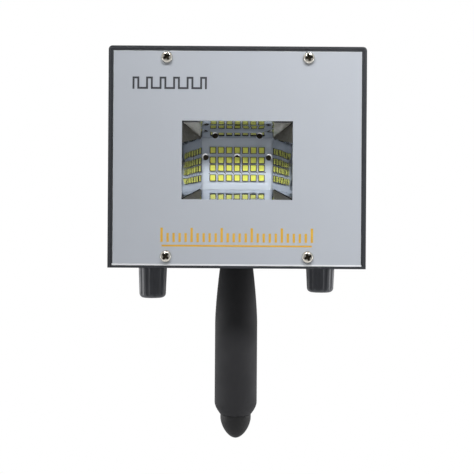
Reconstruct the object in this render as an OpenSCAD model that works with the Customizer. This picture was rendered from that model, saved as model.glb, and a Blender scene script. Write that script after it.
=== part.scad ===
// Hand-held stroboscope lamp.
// A folded sheet case carries a mirrored lamp window in front, two control knobs and a
// grip below, and a mains inlet and a rocker switch behind.
// The origin is the middle of the grip. Z is up and the lamp window looks along -Y.

/* [Case] */
// Outer width of the case
case_w = 172; // [165:1:220]
// Outer height of the case
case_h = 148; // [140:1:200]
// Depth of the case from front edge to back edge
case_d = 105; // [100:1:160]
// Thickness of the folded sheet
sheet = 2; // [1.6:0.1:2.4]
// Inside radius of the bends in the sheet
bend_r = 0.6; // [0.4:0.1:2]
// Height of the upturned chassis sides
flange_h = 72; // [70:1:90]
// Gap between the cover and the chassis sides
cover_fit = 0.15; // [0.1:0.05:0.4]
// Distance of the cover screws from the middle of the depth
cover_screw_y = 32; // [20:1:38]
// Height of the cover screws above the underside
cover_screw_z = 9; // [8:0.5:11]

/* [Panels] */
// Thickness of the front and rear panels
panel_t = 2; // [1.5:0.1:3]
// Gap left round the panels at the sides and the top
panel_gap = 0.9; // [0.6:0.1:2]
// Gap between the panels and the chassis floor
panel_floor_gap = 0.2; // [0.15:0.05:0.6]
// Chamfer round the outer face of the panels
panel_chamfer = 0.6; // [0.3:0.1:1]
// Distance of the panel screws from the middle
panel_screw_x = 47.2; // [42:0.2:54]
// Length of each leg of the panel rails
rail_leg = 14; // [13:0.5:16]
// Thickness of the panel rails
rail_t = 1.6; // [1.2:0.1:2]
// Length of the panel rails
rail_len = 116; // [112:1:126]
// Diameter of the panel screws
panel_screw_d = 4; // [3.5:0.5:4.5]

/* [Vents] */
// Number of vent slots in each column
vent_rows = 6; // [3:1:7]
// Length of a vent slot
vent_len = 40; // [20:1:50]
// Width of a vent slot
vent_w = 3; // [2:0.2:4]
// Distance from one slot to the next
vent_pitch = 7.5; // [6.5:0.5:8]
// Height of the middle of the vents above the underside
vent_z = 100; // [94:1:104]
// Distance of each column of slots from the middle
vent_x = 32; // [28:1:40]

/* [Lamp window] */
// Width of the lamp window
window_w = 73.8; // [68:0.2:80]
// Height of the lamp window
window_h = 52.4; // [48:0.2:60]
// Height of the middle of the window above the underside
window_z = 72; // [70:0.5:80]
// Depth from the face of the panel to the lamp board
lamp_depth = 24; // [20:0.5:26]
// Width of the reflector at its throat
throat_w = 49.4; // [46:0.2:54]
// Height of the reflector at its throat
throat_h = 35.2; // [33:0.2:40]
// Distance of the throat from the lamp board
throat_gap = 2.2; // [1.5:0.1:3]
// Thickness of the reflector sheet
mirror_t = 0.8; // [0.5:0.1:1.2]
// Width of the lip round the mouth of the reflector
mirror_lip = 4; // [2:0.5:6]
// Amount by which the mouth is higher than the window, above and below
mouth_over = 0.4; // [0.2:0.1:1]
// Amount by which the mouth is wider than the window on each side
mouth_side = 1.2; // [0.4:0.1:2]

/* [Lamp board] */
// Margin of the lamp board round the reflector
lamp_margin = 8; // [7.5:0.5:9]
// Thickness of the lamp board
lamp_t = 1.6; // [1:0.1:2]
// Columns of lamps
led_cols = 7; // [5:1:7]
// Distance from column to column
led_pitch = 5.65; // [5.4:0.05:6]
// Distance from the outer rows to the inner rows
led_outer_gap = 6.9; // [5.5:0.1:7.5]
// Distance between the two inner rows
led_inner_gap = 5.4; // [5.2:0.1:7]
// Amount by which the rows sit below the middle of the board
led_drop = 0.3; // [0:0.1:1.5]
// Width of a lamp package
led_w = 4.9; // [4:0.1:5]
// Height of a lamp package
led_h = 4.8; // [4:0.1:5]
// Thickness of a lamp package
led_t = 0.8; // [0.6:0.1:1.2]
// Width of the rim round the light-giving face of a package
led_rim = 0.5; // [0.2:0.05:0.7]
// Diameter of the open holes in the lamp board
tool_hole_d = 3.6; // [3:0.1:4]
// Diameter of the holes in the reflector that give access to the upper open holes
access_hole_d = 4.9; // [4:0.1:5]

/* [Heat sink] */
// Width of the heat sink
sink_w = 70; // [66:1:76]
// Thickness of the heat sink base
sink_base = 5; // [4.5:0.5:7]
// Length of the fins
fin_len = 17; // [10:1:20]
// Thickness of the fins
fin_t = 2; // [1.5:0.1:2.5]
// Number of fins
fin_count = 10; // [6:1:12]
// Width of the lamp bracket
bracket_w = 44; // [38:1:50]
// Thickness of the lamp bracket
bracket_t = 2; // [1.5:0.1:2.5]
// Length over which the bracket laps the heat sink
bracket_lap = 13; // [12:0.5:15]
// Clearance between the bracket foot and the handle washer
foot_clear = 2.4; // [1:0.2:4]

/* [Circuit boards] */
// Length of the circuit boards
pcb_len = 80; // [76:1:86]
// Height of the circuit boards
pcb_h = 48; // [46:1:52]
// Thickness of the circuit boards
pcb_t = 1.6; // [1.2:0.2:2]
// Height of the middle of the boards above the underside
pcb_z = 44; // [42:0.5:46]
// Length of the stand-offs
standoff_h = 8; // [6:0.5:10]
// Grid on which the parts of the circuit boards are laid out
part_grid = 5; // [4.8:0.1:5.2]

/* [Knobs] */
// Distance of the knob axes from the sides of the case
knob_in = 24.5; // [22:0.5:30]
// Diameter of the knobs at the case
knob_d = 20.8; // [19:0.2:24]
// Diameter of the knobs at the far end
knob_end_d = 19.4; // [17:0.2:22]
// Radius of the rounded end of the knobs
knob_edge_r = 3.4; // [1:0.2:4]
// Length of the coarse knob
coarse_knob_h = 23.1; // [19:0.1:28]
// Length of the fine knob
fine_knob_h = 18.4; // [17.4:0.1:24]
// Gap between the knobs and the case
knob_gap = 0.8; // [0.5:0.1:1.5]
// Number of flutes round each knob
flutes = 12; // [8:1:18]
// Radius of the flutes
flute_r = 3; // [2:0.1:4]
// Depth of the flutes
flute_depth = 0.55; // [0.3:0.05:0.8]
// Width of the pointer groove in the end of each knob
pointer_w = 1.2; // [0.8:0.1:2]
// Depth of the pointer groove
pointer_depth = 0.4; // [0.2:0.1:0.8]

/* [Potentiometers] */
// Diameter of the potentiometer cans
pot_d = 17; // [16:0.5:20]
// Height of the potentiometer cans
pot_h = 9; // [8:0.5:12]
// Diameter of the threaded bush
bush_d = 7; // [7:0.1:8]
// Length of the bush below the case
bush_len = 4.6; // [4:0.1:5]
// Diameter of the turning shaft
shaft_d = 6; // [5.6:0.1:6]
// Length of the shaft below the case
shaft_len = 15; // [12:0.5:16]

/* [Handle] */
// Length of the grip sleeve
grip_len = 108.5; // [95:0.5:130]
// Diameter of the grip at the case
neck_d = 24; // [22:0.5:28]
// Largest diameter of the grip
grip_d = 31; // [28:0.5:36]
// Length over which the grip swells to its full size
swell_len = 42; // [30:1:50]
// Length of the rounded lower end of the sleeve
shoulder_len = 8.5; // [5:0.5:12]
// Amount by which the rounded lower end draws in
shoulder_in = 4; // [2:0.2:5]
// Diameter of the handle core inside the sleeve
core_d = 17; // [16:0.5:19]
// Diameter of the end knob of the handle
pommel_d = 22.4; // [20:0.2:24]
// Length of the end knob of the handle
pommel_h = 18; // [12:0.5:24]
// Length of the straight part of the end knob
pommel_straight = 3; // [2:0.5:5]
// Diameter of the stud that holds the handle
stud_d = 10; // [8:0.5:11]
// Depth to which the stud enters the handle
stud_in = 40; // [25:1:60]

/* [Mains inlet] */
// Distance of the mains inlet from the middle
inlet_x = 30; // [28:0.5:34]
// Height of the mains inlet above the underside
inlet_z = 36; // [34:0.5:40]
// Depth of the inlet body behind the panel face
inlet_depth = 18; // [17:0.5:22]
// Thickness of the inlet flange
inlet_flange_t = 3; // [2:0.2:4]

/* [Power switch] */
// Distance of the power switch from the middle
switch_x = -34; // [-40:0.5:-30]
// Height of the power switch above the underside
switch_z = 36; // [34:0.5:40]
// Length of the switch frame
switch_len = 21; // [20.6:0.1:24]
// Width of the switch frame
switch_w = 15; // [14.6:0.1:17]
// Angle of the rocker to either side
rocker_tilt = 10; // [6:0.5:12]

/* [Hidden] */
$fn = 64;

// Underside of the case in the frame of the grip
case_z = grip_len / 2;
front_y = -case_d / 2;
outer_bend_r = sheet + bend_r;

// Room added to the diameter of holes for screws, of close holes and of threads
free_fit = 0.4;
close_fit = 0.3;
thread_fit = 0.1;
// Length by which a cutting body runs past the face it cuts
over = 1;
// Thickness of the two slices that a flared body spans
slice = 0.01;

// Distance of the upturned chassis sides behind the panels
flange_set_in = 0.4;
chassis_w = case_w - 2 * sheet - 2 * cover_fit;
flange_len = case_d - 2 * panel_t - 2 * flange_set_in;
flange_x = chassis_w / 2 - sheet;

// Length of a screw that shows beyond its nut
screw_end = 1;
panel_w = case_w - 2 * sheet - 2 * panel_gap;
panel_z0 = sheet + panel_floor_gap;
panel_h = case_h - sheet - panel_gap - panel_z0;
panel_back = front_y + panel_t;
panel_nut_af = 1.75 * panel_screw_d;
panel_nut_h = 0.8 * panel_screw_d;
panel_screw_len = panel_t + rail_t + panel_nut_h + screw_end;
panel_nut_gap = 0.1;
panel_screw_in = sheet + rail_t + bend_r + panel_nut_af / 2 + panel_nut_gap;

// Height of the lowest row of vents above the underside
vent_z0 = vent_z - (vent_rows - 1) * vent_pitch / 2;

// Small screws and their nuts, used everywhere but on the panels
small_d = 3;
small_nut_af = 5.5;
small_nut_h = 2.4;
cover_screw_len = 6;
// Depth of thread left empty below a screw in a blind hole
blind_gap = 0.3;

lamp_y = front_y + lamp_depth;
lamp_w = throat_w + 2 * lamp_margin;
lamp_h = throat_h + 2 * lamp_margin;
lamp_screw_in = 3.2;
lamp_screw_x = lamp_w / 2 - lamp_screw_in;
lamp_screw_z = lamp_h / 2 - lamp_screw_in;
mouth_w = window_w + 2 * mouth_side;
mouth_h = window_h + 2 * mouth_over;
mirror_depth = lamp_depth - panel_t - throat_gap;
led_rows = [
    led_inner_gap / 2 + led_outer_gap, led_inner_gap / 2,
    -led_inner_gap / 2, -led_inner_gap / 2 - led_outer_gap
];
led_pocket = led_t / 5;
// Open holes of the lamp board, three in a row at mid height and two at the top
mid_hole_in = 2.7;
mid_hole_x = throat_w / 2 - mid_hole_in;
mid_hole_rise = 4.4;
top_hole_in = 9.3;
top_hole_x = throat_w / 2 - top_hole_in;
top_hole_up = 2;
top_hole_rise = throat_h / 2 + top_hole_up;
// Amount by which the holes in the reflector sit below the upper open holes
access_hole_drop = 1.2;

handle_washer_d = 2.4 * stud_d;
handle_washer_t = 2;
handle_nut_af = 1.7 * stud_d;
handle_nut_h = 0.8 * stud_d;
stud_end = 2;
stud_end_gap = 0.5;

sink_y = lamp_y + lamp_t;
sink_edge = 3;
bracket_gap = 0.6;
leg_top = window_z - lamp_h / 2 - bracket_gap;
sink_z0 = leg_top - bracket_lap;
sink_h = window_z + lamp_h / 2 + sink_edge - sink_z0;
sink_skin = 0.5;
sink_hole = sink_base - sink_skin;
sink_screw_in = sink_hole - blind_gap;
// Depth to which the open holes of the lamp board run into the heat sink
tool_hole_in = 4;
leg_screw_in = 7;
leg_screw_x = bracket_w / 2 - leg_screw_in;
leg_screw_z = sink_z0 + bracket_lap / 2;
foot_end_y = -handle_washer_d / 2 - foot_clear;
foot_screw_in = 3.6;
foot_screw_y = foot_end_y - foot_screw_in;

pcb_x = flange_x - standoff_h;
pcb_hole_in = 4;
pcb_hole_y = pcb_len / 2 - pcb_hole_in;
pcb_hole_z = pcb_h / 2 - pcb_hole_in;
standoff_d = 5.5;
standoff_root_d = 4.1;
standoff_thread = 5.5;

knob_x = case_w / 2 - knob_in;
pot_washer_d = 1.65 * bush_d;
pot_washer_t = 0.5;
pot_nut_af = 1.45 * bush_d;
pot_nut_h = 2;
// Solder lugs of the potentiometers
lug_w = 1.2;
lug_t = 0.6;
lug_len = 5;
lug_rise = 3;
lug_pitch = 5;
shaft_root = 3;
shaft_flat = 0.75 * shaft_d / 2;
shaft_fit = 0.08;
// Room left in the knobs round the nut and past the bush
nut_room = 1;
bush_room = 0.8;
knob_cavity_d = 1.28 * pot_nut_af + 2 * nut_room;
knob_cavity_h = bush_len + bush_room - knob_gap;
knob_rim = 0.5;

inlet_body_w = 27.4;
inlet_body_h = 19.9;
inlet_flange_w = 50;
inlet_flange_h = 24;
inlet_corner_r = 3;
inlet_screw_x = 20;
inlet_floor_t = 2.5;
socket_w = 24.6;
socket_h = 16.9;
socket_cut = 4.6;
// Contact blades in the socket and the tabs behind it
pin_w = 2;
pin_h = 4;
pin_len = 13;
pin_x = 7;
pin_z = 2;
tab_w = 6.3;
tab_t = 0.8;
tab_len = 8;
// Gap round the bodies that sit in cut-outs of the rear panel
cutout_fit = 0.3;

// Overlap of the switch frame on the panel, and its wall round the well
switch_lip = 1.1;
switch_wall = 1.2;
switch_body_len = switch_len - 2 * switch_lip;
switch_body_w = switch_w - 2 * switch_lip;
switch_corner_r = 1.2;
switch_frame_t = 2;
switch_depth = 15;
switch_tab_w = 4.8;
switch_tab_z = 5;
well_len = switch_body_len - 2 * switch_wall;
well_w = switch_body_w - 2 * switch_wall;
well_depth = 8;
pivot_in = 1.5;
pivot_d = 2;
pivot_len = 0.7;
rocker_fit = 0.3;
rocker_r = well_len / 2 - rocker_fit;
rocker_w = well_w - 2 * rocker_fit;
rocker_rise = 2.7;
rocker_root = 2.6;

// Points of an arc about c with radius r from angle a0 to a1
function arc(c, r, a0, a1, n = 8) =
    [for (i = [0 : n]) let (a = a0 + (a1 - a0) * i / n) [c[0] + r * cos(a), c[1] + r * sin(a)]];

// Radius of the grip at a share of the way down its swell
function swell_r(u) = grip_d / 2 - (grip_d - neck_d) / 2 * pow(1 - u, 1.5);

// Radius of the grip at a share of the way down its rounded end
function shoulder_r(u) = grip_d / 2 - shoulder_in * pow(u, 1.7);

// Radius of the end knob at a share of the way down its dome
function pommel_r(u) = pommel_d / 2 * pow(1 - pow(u, 1.6), 0.55);

// Places children on the underside of the case
module in_case() {
    translate([0, 0, case_z])
        children();
}

// Turns children made for the front to the back of the case
module at_back() {
    mirror([0, 1, 0])
        children();
}

// Turns an outline drawn in X and Z into a sheet from y = 0 backwards
module upright(depth) {
    translate([0, depth, 0])
        rotate([90, 0, 0])
            linear_extrude(depth)
                children();
}

// Outline of an arch with rounded upper corners
module arch(w, h, r) {
    translate([-w / 2, 0])
        square([w, h - r]);
    translate([-w / 2 + r, 0])
        square([w - 2 * r, h]);
    for (s = [-1, 1])
        translate([s * (w / 2 - r), h - r])
            circle(r);
}

// Outline of a trough with rounded lower corners
module trough(w, h, r) {
    translate([0, h])
        mirror([0, 1])
            arch(w, h, r);
}

// Outline of a rectangle with round ends
module slot_outline(len, w) {
    square([len - w, w], center = true);
    for (s = [-1, 1])
        translate([s * (len - w) / 2, 0])
            circle(d = w);
}

// Outline of a rectangle with rounded corners
module rounded_outline(w, h, r) {
    square([w - 2 * r, h], center = true);
    square([w, h - 2 * r], center = true);
    for (x = [-1, 1], y = [-1, 1])
        translate([x * (w / 2 - r), y * (h / 2 - r)])
            circle(r);
}

// Outline of a cut-out for a body of the given size
module cutout(w, h) {
    square([w + 2 * cutout_fit, h + 2 * cutout_fit], center = true);
}

// Bent strip along X with a foot of length a along Y and a leg of length b along Z
module angle_strip(a, b, t, len) {
    outer = t + bend_r;
    rotate([90, 0, 90])
        linear_extrude(len, center = true)
            union() {
                translate([outer, 0])
                    square([a - outer, t]);
                translate([0, outer])
                    square([t, b - outer]);
                intersection() {
                    square(outer);
                    translate([outer, outer])
                        difference() {
                            circle(outer);
                            circle(bend_r);
                        }
                }
            }
}

// Pan head screw with a cross recess, head above z = 0 and shank below
module pan_screw(d, len) {
    head_h = 0.7 * d;
    difference() {
        rotate_extrude()
            polygon(concat([[0, 0], [d, 0]], arc([0.58 * d, 0.28 * d], 0.42 * d, 0, 90), [[0, head_h]]));
        for (a = [0, 90])
            translate([0, 0, head_h])
                rotate(a)
                    cube([1.1 * d, 0.24 * d, 0.8 * d], center = true);
    }
    translate([0, 0, -len])
        cylinder(d = d, h = len);
}

// Countersunk screw, flush at z = 0 with the shank above
module flat_screw(d, len) {
    difference() {
        cylinder(r1 = 0.95 * d, r2 = d / 2, h = 0.45 * d);
        for (a = [0, 90])
            rotate(a)
                cube([d, 0.22 * d, 0.5 * d], center = true);
    }
    translate([0, 0, 0.45 * d])
        cylinder(d = d, h = len - 0.45 * d);
}

// Countersunk hole for the flat screw
module flat_hole(d, len) {
    head_r = 0.95 * d + thread_fit;
    translate([0, 0, -over])
        cylinder(r = head_r, h = over);
    cylinder(r1 = head_r, r2 = d / 2 + thread_fit, h = 0.45 * d);
    cylinder(d = d + 2 * thread_fit, h = len);
}

module hex_nut(d, af, h) {
    difference() {
        cylinder(d = af / cos(30), h = h, $fn = 6);
        translate([0, 0, -over])
            cylinder(d = d + thread_fit, h = h + 2 * over);
    }
}

module ring(od, id, h) {
    difference() {
        cylinder(d = od, h = h);
        translate([0, 0, -over])
            cylinder(d = id, h = h + 2 * over);
    }
}

module panel_screw_spots() {
    for (x = [-1, 1], z = [panel_screw_in, case_h - panel_screw_in])
        translate([x * panel_screw_x, front_y, z])
            rotate([90, 0, 0])
                children();
}

module cover_screw_spots() {
    for (s = [-1, 1], y = [-1, 1])
        translate([s * case_w / 2, y * cover_screw_y, cover_screw_z])
            rotate([0, s * 90, 0])
                children();
}

module bracket_foot_spots() {
    for (s = [-1, 1])
        translate([s * leg_screw_x, foot_screw_y, 0])
            children();
}

module bracket_leg_spots() {
    for (s = [-1, 1])
        translate([s * leg_screw_x, sink_y, leg_screw_z])
            rotate([90, 0, 0])
                children();
}

module lamp_screw_spots() {
    for (x = [-1, 1], z = [-1, 1])
        translate([x * lamp_screw_x, lamp_y, window_z + z * lamp_screw_z])
            rotate([90, 0, 0])
                children();
}

module top_hole_spots() {
    for (x = [-1, 1])
        translate([x * top_hole_x, lamp_y, window_z + top_hole_rise])
            children();
}

module tool_hole_spots() {
    top_hole_spots()
        children();
    for (x = [-1, 0, 1])
        translate([x * mid_hole_x, lamp_y, window_z + mid_hole_rise])
            children();
}

// Stand-off places on the right chassis side, with z pointing inwards
module standoff_spots() {
    for (y = [-1, 1], z = [-1, 1])
        translate([flange_x, y * pcb_hole_y, pcb_z + z * pcb_hole_z])
            rotate([0, -90, 0])
                children();
}

module both_sides() {
    children();
    mirror([1, 0, 0])
        children();
}

module at_knobs() {
    for (s = [-1, 1])
        translate([s * knob_x, 0, 0])
            children();
}

module case_cover() {
    color("#3b3d42")
        in_case()
            difference() {
                rotate([90, 0, 0])
                    linear_extrude(case_d, center = true)
                        difference() {
                            arch(case_w, case_h, outer_bend_r);
                            translate([0, -over])
                                arch(case_w - 2 * sheet, case_h - sheet + over, bend_r);
                        }
                cover_screw_spots()
                    translate([0, 0, -sheet - over])
                        cylinder(d = small_d + free_fit, h = sheet + 2 * over);
            }
}

module chassis() {
    color("#3b3d42")
        in_case()
            difference() {
                union() {
                    rotate([90, 0, 0])
                        linear_extrude(flange_len, center = true)
                            difference() {
                                trough(chassis_w, flange_h, outer_bend_r);
                                translate([0, sheet])
                                    trough(chassis_w - 2 * sheet, flange_h, bend_r);
                            }
                    translate([-chassis_w / 2 + outer_bend_r, -case_d / 2, 0])
                        cube([chassis_w - 2 * outer_bend_r, case_d, sheet]);
                    for (s = [-1, 1])
                        translate([-chassis_w / 2, s > 0 ? case_d / 2 - panel_t : front_y, 0])
                            cube([chassis_w, panel_t, sheet]);
                }
                translate([0, 0, -over])
                    cylinder(d = stud_d + close_fit, h = sheet + 2 * over);
                at_knobs()
                    translate([0, 0, -over])
                        cylinder(d = bush_d + close_fit, h = sheet + 2 * over);
                bracket_foot_spots()
                    flat_hole(small_d, sheet + over);
                cover_screw_spots()
                    translate([0, 0, -2 * sheet - cover_fit - over])
                        cylinder(d = small_d + thread_fit, h = sheet + 2 * over);
                both_sides()
                    standoff_spots()
                        translate([0, 0, -sheet - over])
                            cylinder(d = standoff_root_d + thread_fit, h = sheet + 2 * over);
            }
}

// Panel with chamfered outer edges and four screw holes
module panel_blank() {
    cut = panel_chamfer * sqrt(2);
    difference() {
        translate([-panel_w / 2, front_y, panel_z0])
            cube([panel_w, panel_t, panel_h]);
        for (z = [panel_z0, panel_z0 + panel_h])
            translate([0, front_y, z])
                rotate([45, 0, 0])
                    cube([panel_w + over, cut, cut], center = true);
        for (s = [-1, 1])
            translate([s * panel_w / 2, front_y, panel_z0 + panel_h / 2])
                rotate([0, 0, 45])
                    cube([cut, cut, panel_h + over], center = true);
        panel_screw_spots()
            translate([0, 0, -panel_t - over])
                cylinder(d = panel_screw_d + free_fit, h = panel_t + 2 * over);
    }
}

module front_panel() {
    color("#b6bbc5")
        in_case()
            difference() {
                panel_blank();
                translate([-window_w / 2, front_y - over, window_z - window_h / 2])
                    cube([window_w, panel_t + 2 * over, window_h]);
            }
}

module rear_panel() {
    color("#3b3d42")
        in_case()
            at_back()
                difference() {
                    panel_blank();
                    translate([inlet_x, front_y - over, inlet_z])
                        upright(panel_t + 2 * over)
                            cutout(inlet_body_w, inlet_body_h);
                    for (s = [-1, 1])
                        translate([inlet_x + s * inlet_screw_x, front_y - over, inlet_z])
                            upright(panel_t + 2 * over)
                                circle(d = small_d + free_fit);
                    translate([switch_x, front_y - over, switch_z])
                        upright(panel_t + 2 * over)
                            cutout(switch_body_w, switch_body_len);
                    for (s = [-1, 1], i = [0 : vent_rows - 1])
                        translate([s * vent_x, front_y - over, vent_z0 + i * vent_pitch])
                            upright(panel_t + 2 * over)
                                slot_outline(vent_len, vent_w);
                }
}

// Upper and lower angle rails behind the front panel
module panel_rails() {
    difference() {
        for (top = [false, true])
            translate([0, panel_back, top ? case_h - sheet : sheet])
                mirror([0, 0, top ? 1 : 0])
                    angle_strip(rail_leg, rail_leg, rail_t, rail_len);
        panel_screw_spots()
            translate([0, 0, -panel_t - rail_t - over])
                cylinder(d = panel_screw_d + close_fit, h = panel_t + rail_t + 2 * over);
    }
}

module front_rails() {
    color("#3b3d42")
        in_case()
            panel_rails();
}

module rear_rails() {
    color("#3b3d42")
        in_case()
            at_back()
                panel_rails();
}

module panel_screws() {
    panel_screw_spots()
        pan_screw(panel_screw_d, panel_screw_len);
}

module panel_nuts() {
    panel_screw_spots()
        translate([0, 0, -panel_t - rail_t - panel_nut_h])
            rotate(30)
                hex_nut(panel_screw_d, panel_nut_af, panel_nut_h);
}

module front_panel_screws() {
    color("#c9c9c6")
        in_case()
            panel_screws();
}

module rear_panel_screws() {
    color("#c9c9c6")
        in_case()
            at_back()
                panel_screws();
}

module front_panel_nuts() {
    color("#a9aaac")
        in_case()
            panel_nuts();
}

module rear_panel_nuts() {
    color("#a9aaac")
        in_case()
            at_back()
                panel_nuts();
}

module cover_screws() {
    color("#c9c9c6")
        in_case()
            cover_screw_spots()
                pan_screw(small_d, cover_screw_len);
}

// Flared box between two rectangles, from the mouth at y = 0 to the throat
module flare(mw, mh, tw, th, depth) {
    hull() {
        translate([-mw / 2, 0, -mh / 2])
            cube([mw, slice, mh]);
        translate([-tw / 2, depth - slice, -th / 2])
            cube([tw, slice, th]);
    }
}

module reflector() {
    wall = 2 * mirror_t;
    color("#d9dde2")
        in_case()
            difference() {
                translate([0, panel_back, window_z])
                    difference() {
                        union() {
                            flare(
                                mouth_w + wall, mouth_h + wall,
                                throat_w + wall, throat_h + wall, mirror_depth
                            );
                            translate([-mouth_w / 2 - mirror_lip, 0, -mouth_h / 2 - mirror_lip])
                                cube([mouth_w + 2 * mirror_lip, mirror_t, mouth_h + 2 * mirror_lip]);
                        }
                        flare(mouth_w, mouth_h, throat_w, throat_h, mirror_depth);
                        translate([-mouth_w / 2, -over, -mouth_h / 2])
                            cube([mouth_w, over + slice, mouth_h]);
                        translate([-throat_w / 2, mirror_depth - 2 * slice, -throat_h / 2])
                            cube([throat_w, over, throat_h]);
                    }
                top_hole_spots()
                    translate([0, -mirror_depth, -access_hole_drop])
                        upright(mirror_depth + over)
                            circle(d = access_hole_d);
            }
}

module lamp_board() {
    color("#eef1f4")
        in_case()
            difference() {
                translate([-lamp_w / 2, lamp_y, window_z - lamp_h / 2])
                    cube([lamp_w, lamp_t, lamp_h]);
                lamp_screw_spots()
                    translate([0, 0, -lamp_t - over])
                        cylinder(d = small_d + close_fit, h = lamp_t + 2 * over);
                tool_hole_spots()
                    translate([0, -over, 0])
                        upright(lamp_t + 2 * over)
                            circle(d = tool_hole_d);
            }
}

module lamp_leds() {
    color("#efe34a")
        in_case()
            for (c = [0 : led_cols - 1], r = led_rows)
                translate([(c - (led_cols - 1) / 2) * led_pitch, lamp_y - led_t, window_z - led_drop + r])
                    difference() {
                        upright(led_t)
                            square([led_w, led_h], center = true);
                        translate([0, -over, 0])
                            upright(over + led_pocket)
                                square([led_w - 2 * led_rim, led_h - 2 * led_rim], center = true);
                    }
}

module lamp_board_screws() {
    color("#c9c9c6")
        in_case()
            lamp_screw_spots()
                pan_screw(small_d, lamp_t + sink_screw_in);
}

module heat_sink() {
    fin_gap = (sink_w - fin_t) / (fin_count - 1);
    color("#b9bcc0")
        in_case()
            difference() {
                translate([0, 0, sink_z0])
                    linear_extrude(sink_h)
                        union() {
                            translate([-sink_w / 2, sink_y])
                                square([sink_w, sink_base]);
                            for (i = [0 : fin_count - 1])
                                translate([-sink_w / 2 + i * fin_gap, sink_y])
                                    square([fin_t, sink_base + fin_len]);
                        }
                lamp_screw_spots()
                    translate([0, 0, -lamp_t - sink_hole])
                        cylinder(d = small_d + thread_fit, h = sink_hole + over);
                bracket_leg_spots()
                    translate([0, 0, -sink_hole])
                        cylinder(d = small_d + thread_fit, h = sink_hole + over);
                tool_hole_spots()
                    upright(lamp_t + tool_hole_in)
                        circle(d = tool_hole_d);
            }
}

module lamp_bracket() {
    color("#9fa3a8")
        in_case()
            difference() {
                translate([0, sink_y - bracket_t, sheet])
                    angle_strip(foot_end_y - sink_y + bracket_t, leg_top - sheet, bracket_t, bracket_w);
                bracket_leg_spots()
                    translate([0, 0, -over])
                        cylinder(d = small_d + close_fit, h = bracket_t + 2 * over);
                bracket_foot_spots()
                    cylinder(d = small_d + close_fit, h = sheet + bracket_t + over);
            }
}

module bracket_screws() {
    color("#b4b6b8")
        in_case() {
            bracket_leg_spots()
                translate([0, 0, bracket_t])
                    pan_screw(small_d, bracket_t + sink_screw_in);
            bracket_foot_spots()
                flat_screw(small_d, sheet + bracket_t + small_nut_h + screw_end);
        }
}

module bracket_nuts() {
    color("#a9aaac")
        in_case()
            bracket_foot_spots()
                translate([0, 0, sheet + bracket_t])
                    hex_nut(small_d, small_nut_af, small_nut_h);
}

// Circuit board on the right chassis side
module side_board() {
    difference() {
        translate([pcb_x - pcb_t, -pcb_len / 2, pcb_z - pcb_h / 2])
            cube([pcb_t, pcb_len, pcb_h]);
        standoff_spots()
            translate([0, 0, standoff_h - over])
                cylinder(d = small_d + close_fit, h = pcb_t + 2 * over);
    }
}

// Face of the right board, with x up, y back and z pointing inwards
module on_board() {
    translate([pcb_x - pcb_t, 0, pcb_z])
        rotate([0, -90, 0])
            children();
}

// The parts of the boards are placed and sized in steps of the part grid

// Box standing on a board, placed by the middle of its foot
module block(x, y, size) {
    translate(part_grid * [x - size[0] / 2, y - size[1] / 2, 0])
        cube(part_grid * size);
}

// Capacitor can standing on a board
module can(x, y, d, h) {
    edge = 0.16;
    profile = concat([[0, 0], [d / 2, 0]], arc([d / 2 - edge, h - edge], edge, 0, 90, 4), [[0, h]]);
    translate(part_grid * [x, y, 0])
        rotate_extrude()
            polygon(part_grid * profile);
}

// Transformer with a core that stands proud of its winding
module transformer(x, y) {
    block(x, y, [4, 2.4, 3.4]);
    translate([0, 0, 0.4 * part_grid])
        block(x, y, [2.8, 4, 2.6]);
}

// Power device standing in front of its cooling tab
module power_device(x, y) {
    block(x, y, [2, 0.88, 1.8]);
    block(x, y + 0.32, [2, 0.24, 3]);
}

// Terminal block with one screw pocket a pole
module terminal_block(x, y, poles) {
    difference() {
        block(x, y, [1.8, poles, 2]);
        for (i = [0 : poles - 1])
            translate(part_grid * [x, y + i - (poles - 1) / 2, 1.5])
                cylinder(d = 0.68 * part_grid, h = part_grid);
    }
}

module supply_board() {
    color("#2f6b43")
        in_case()
            mirror([1, 0, 0])
                side_board();
}

module supply_parts() {
    color("#3a3a3c")
        in_case()
            mirror([1, 0, 0])
                on_board() {
                    transformer(0.8, -0.8);
                    can(-1.6, 4, 2.6, 4);
                    can(2.4, -5.2, 2, 3.2);
                    can(0, -5.2, 2, 3.2);
                    power_device(1.8, 2.6);
                    terminal_block(2, 5.8, 3);
                    terminal_block(-2.2, -5.6, 2);
                    block(-2.4, 0.6, [1.6, 2.4, 1]);
                }
}

module driver_board() {
    color("#2f6b43")
        in_case()
            side_board();
}

module driver_parts() {
    color("#3a3a3c")
        in_case()
            on_board() {
                block(0.6, -0.4, [2, 5.2, 0.8]);
                power_device(2.4, 3.2);
                power_device(2.4, 5.6);
                can(-1.6, 5.2, 2, 3.2);
                can(-1.6, 2.8, 1.6, 2.4);
                terminal_block(-2.4, -3.2, 3);
                terminal_block(-2.4, 0, 3);
                terminal_block(2, -5.6, 2);
                block(2.8, -1.6, [1, 2.4, 1.8]);
            }
}

module standoff() {
    difference() {
        union() {
            cylinder(d = standoff_d / cos(30), h = standoff_h, $fn = 6);
            translate([0, 0, -0.9 * sheet])
                cylinder(d = standoff_root_d, h = sheet);
        }
        translate([0, 0, standoff_h - standoff_thread])
            cylinder(d = small_d + thread_fit, h = standoff_thread + over);
    }
}

module board_standoffs() {
    color("#c2b280")
        in_case()
            both_sides()
                standoff_spots()
                    standoff();
}

module board_screws() {
    color("#c9c9c6")
        in_case()
            both_sides()
                standoff_spots()
                    translate([0, 0, standoff_h + pcb_t])
                        pan_screw(small_d, pcb_t + standoff_thread - blind_gap);
}

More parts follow.
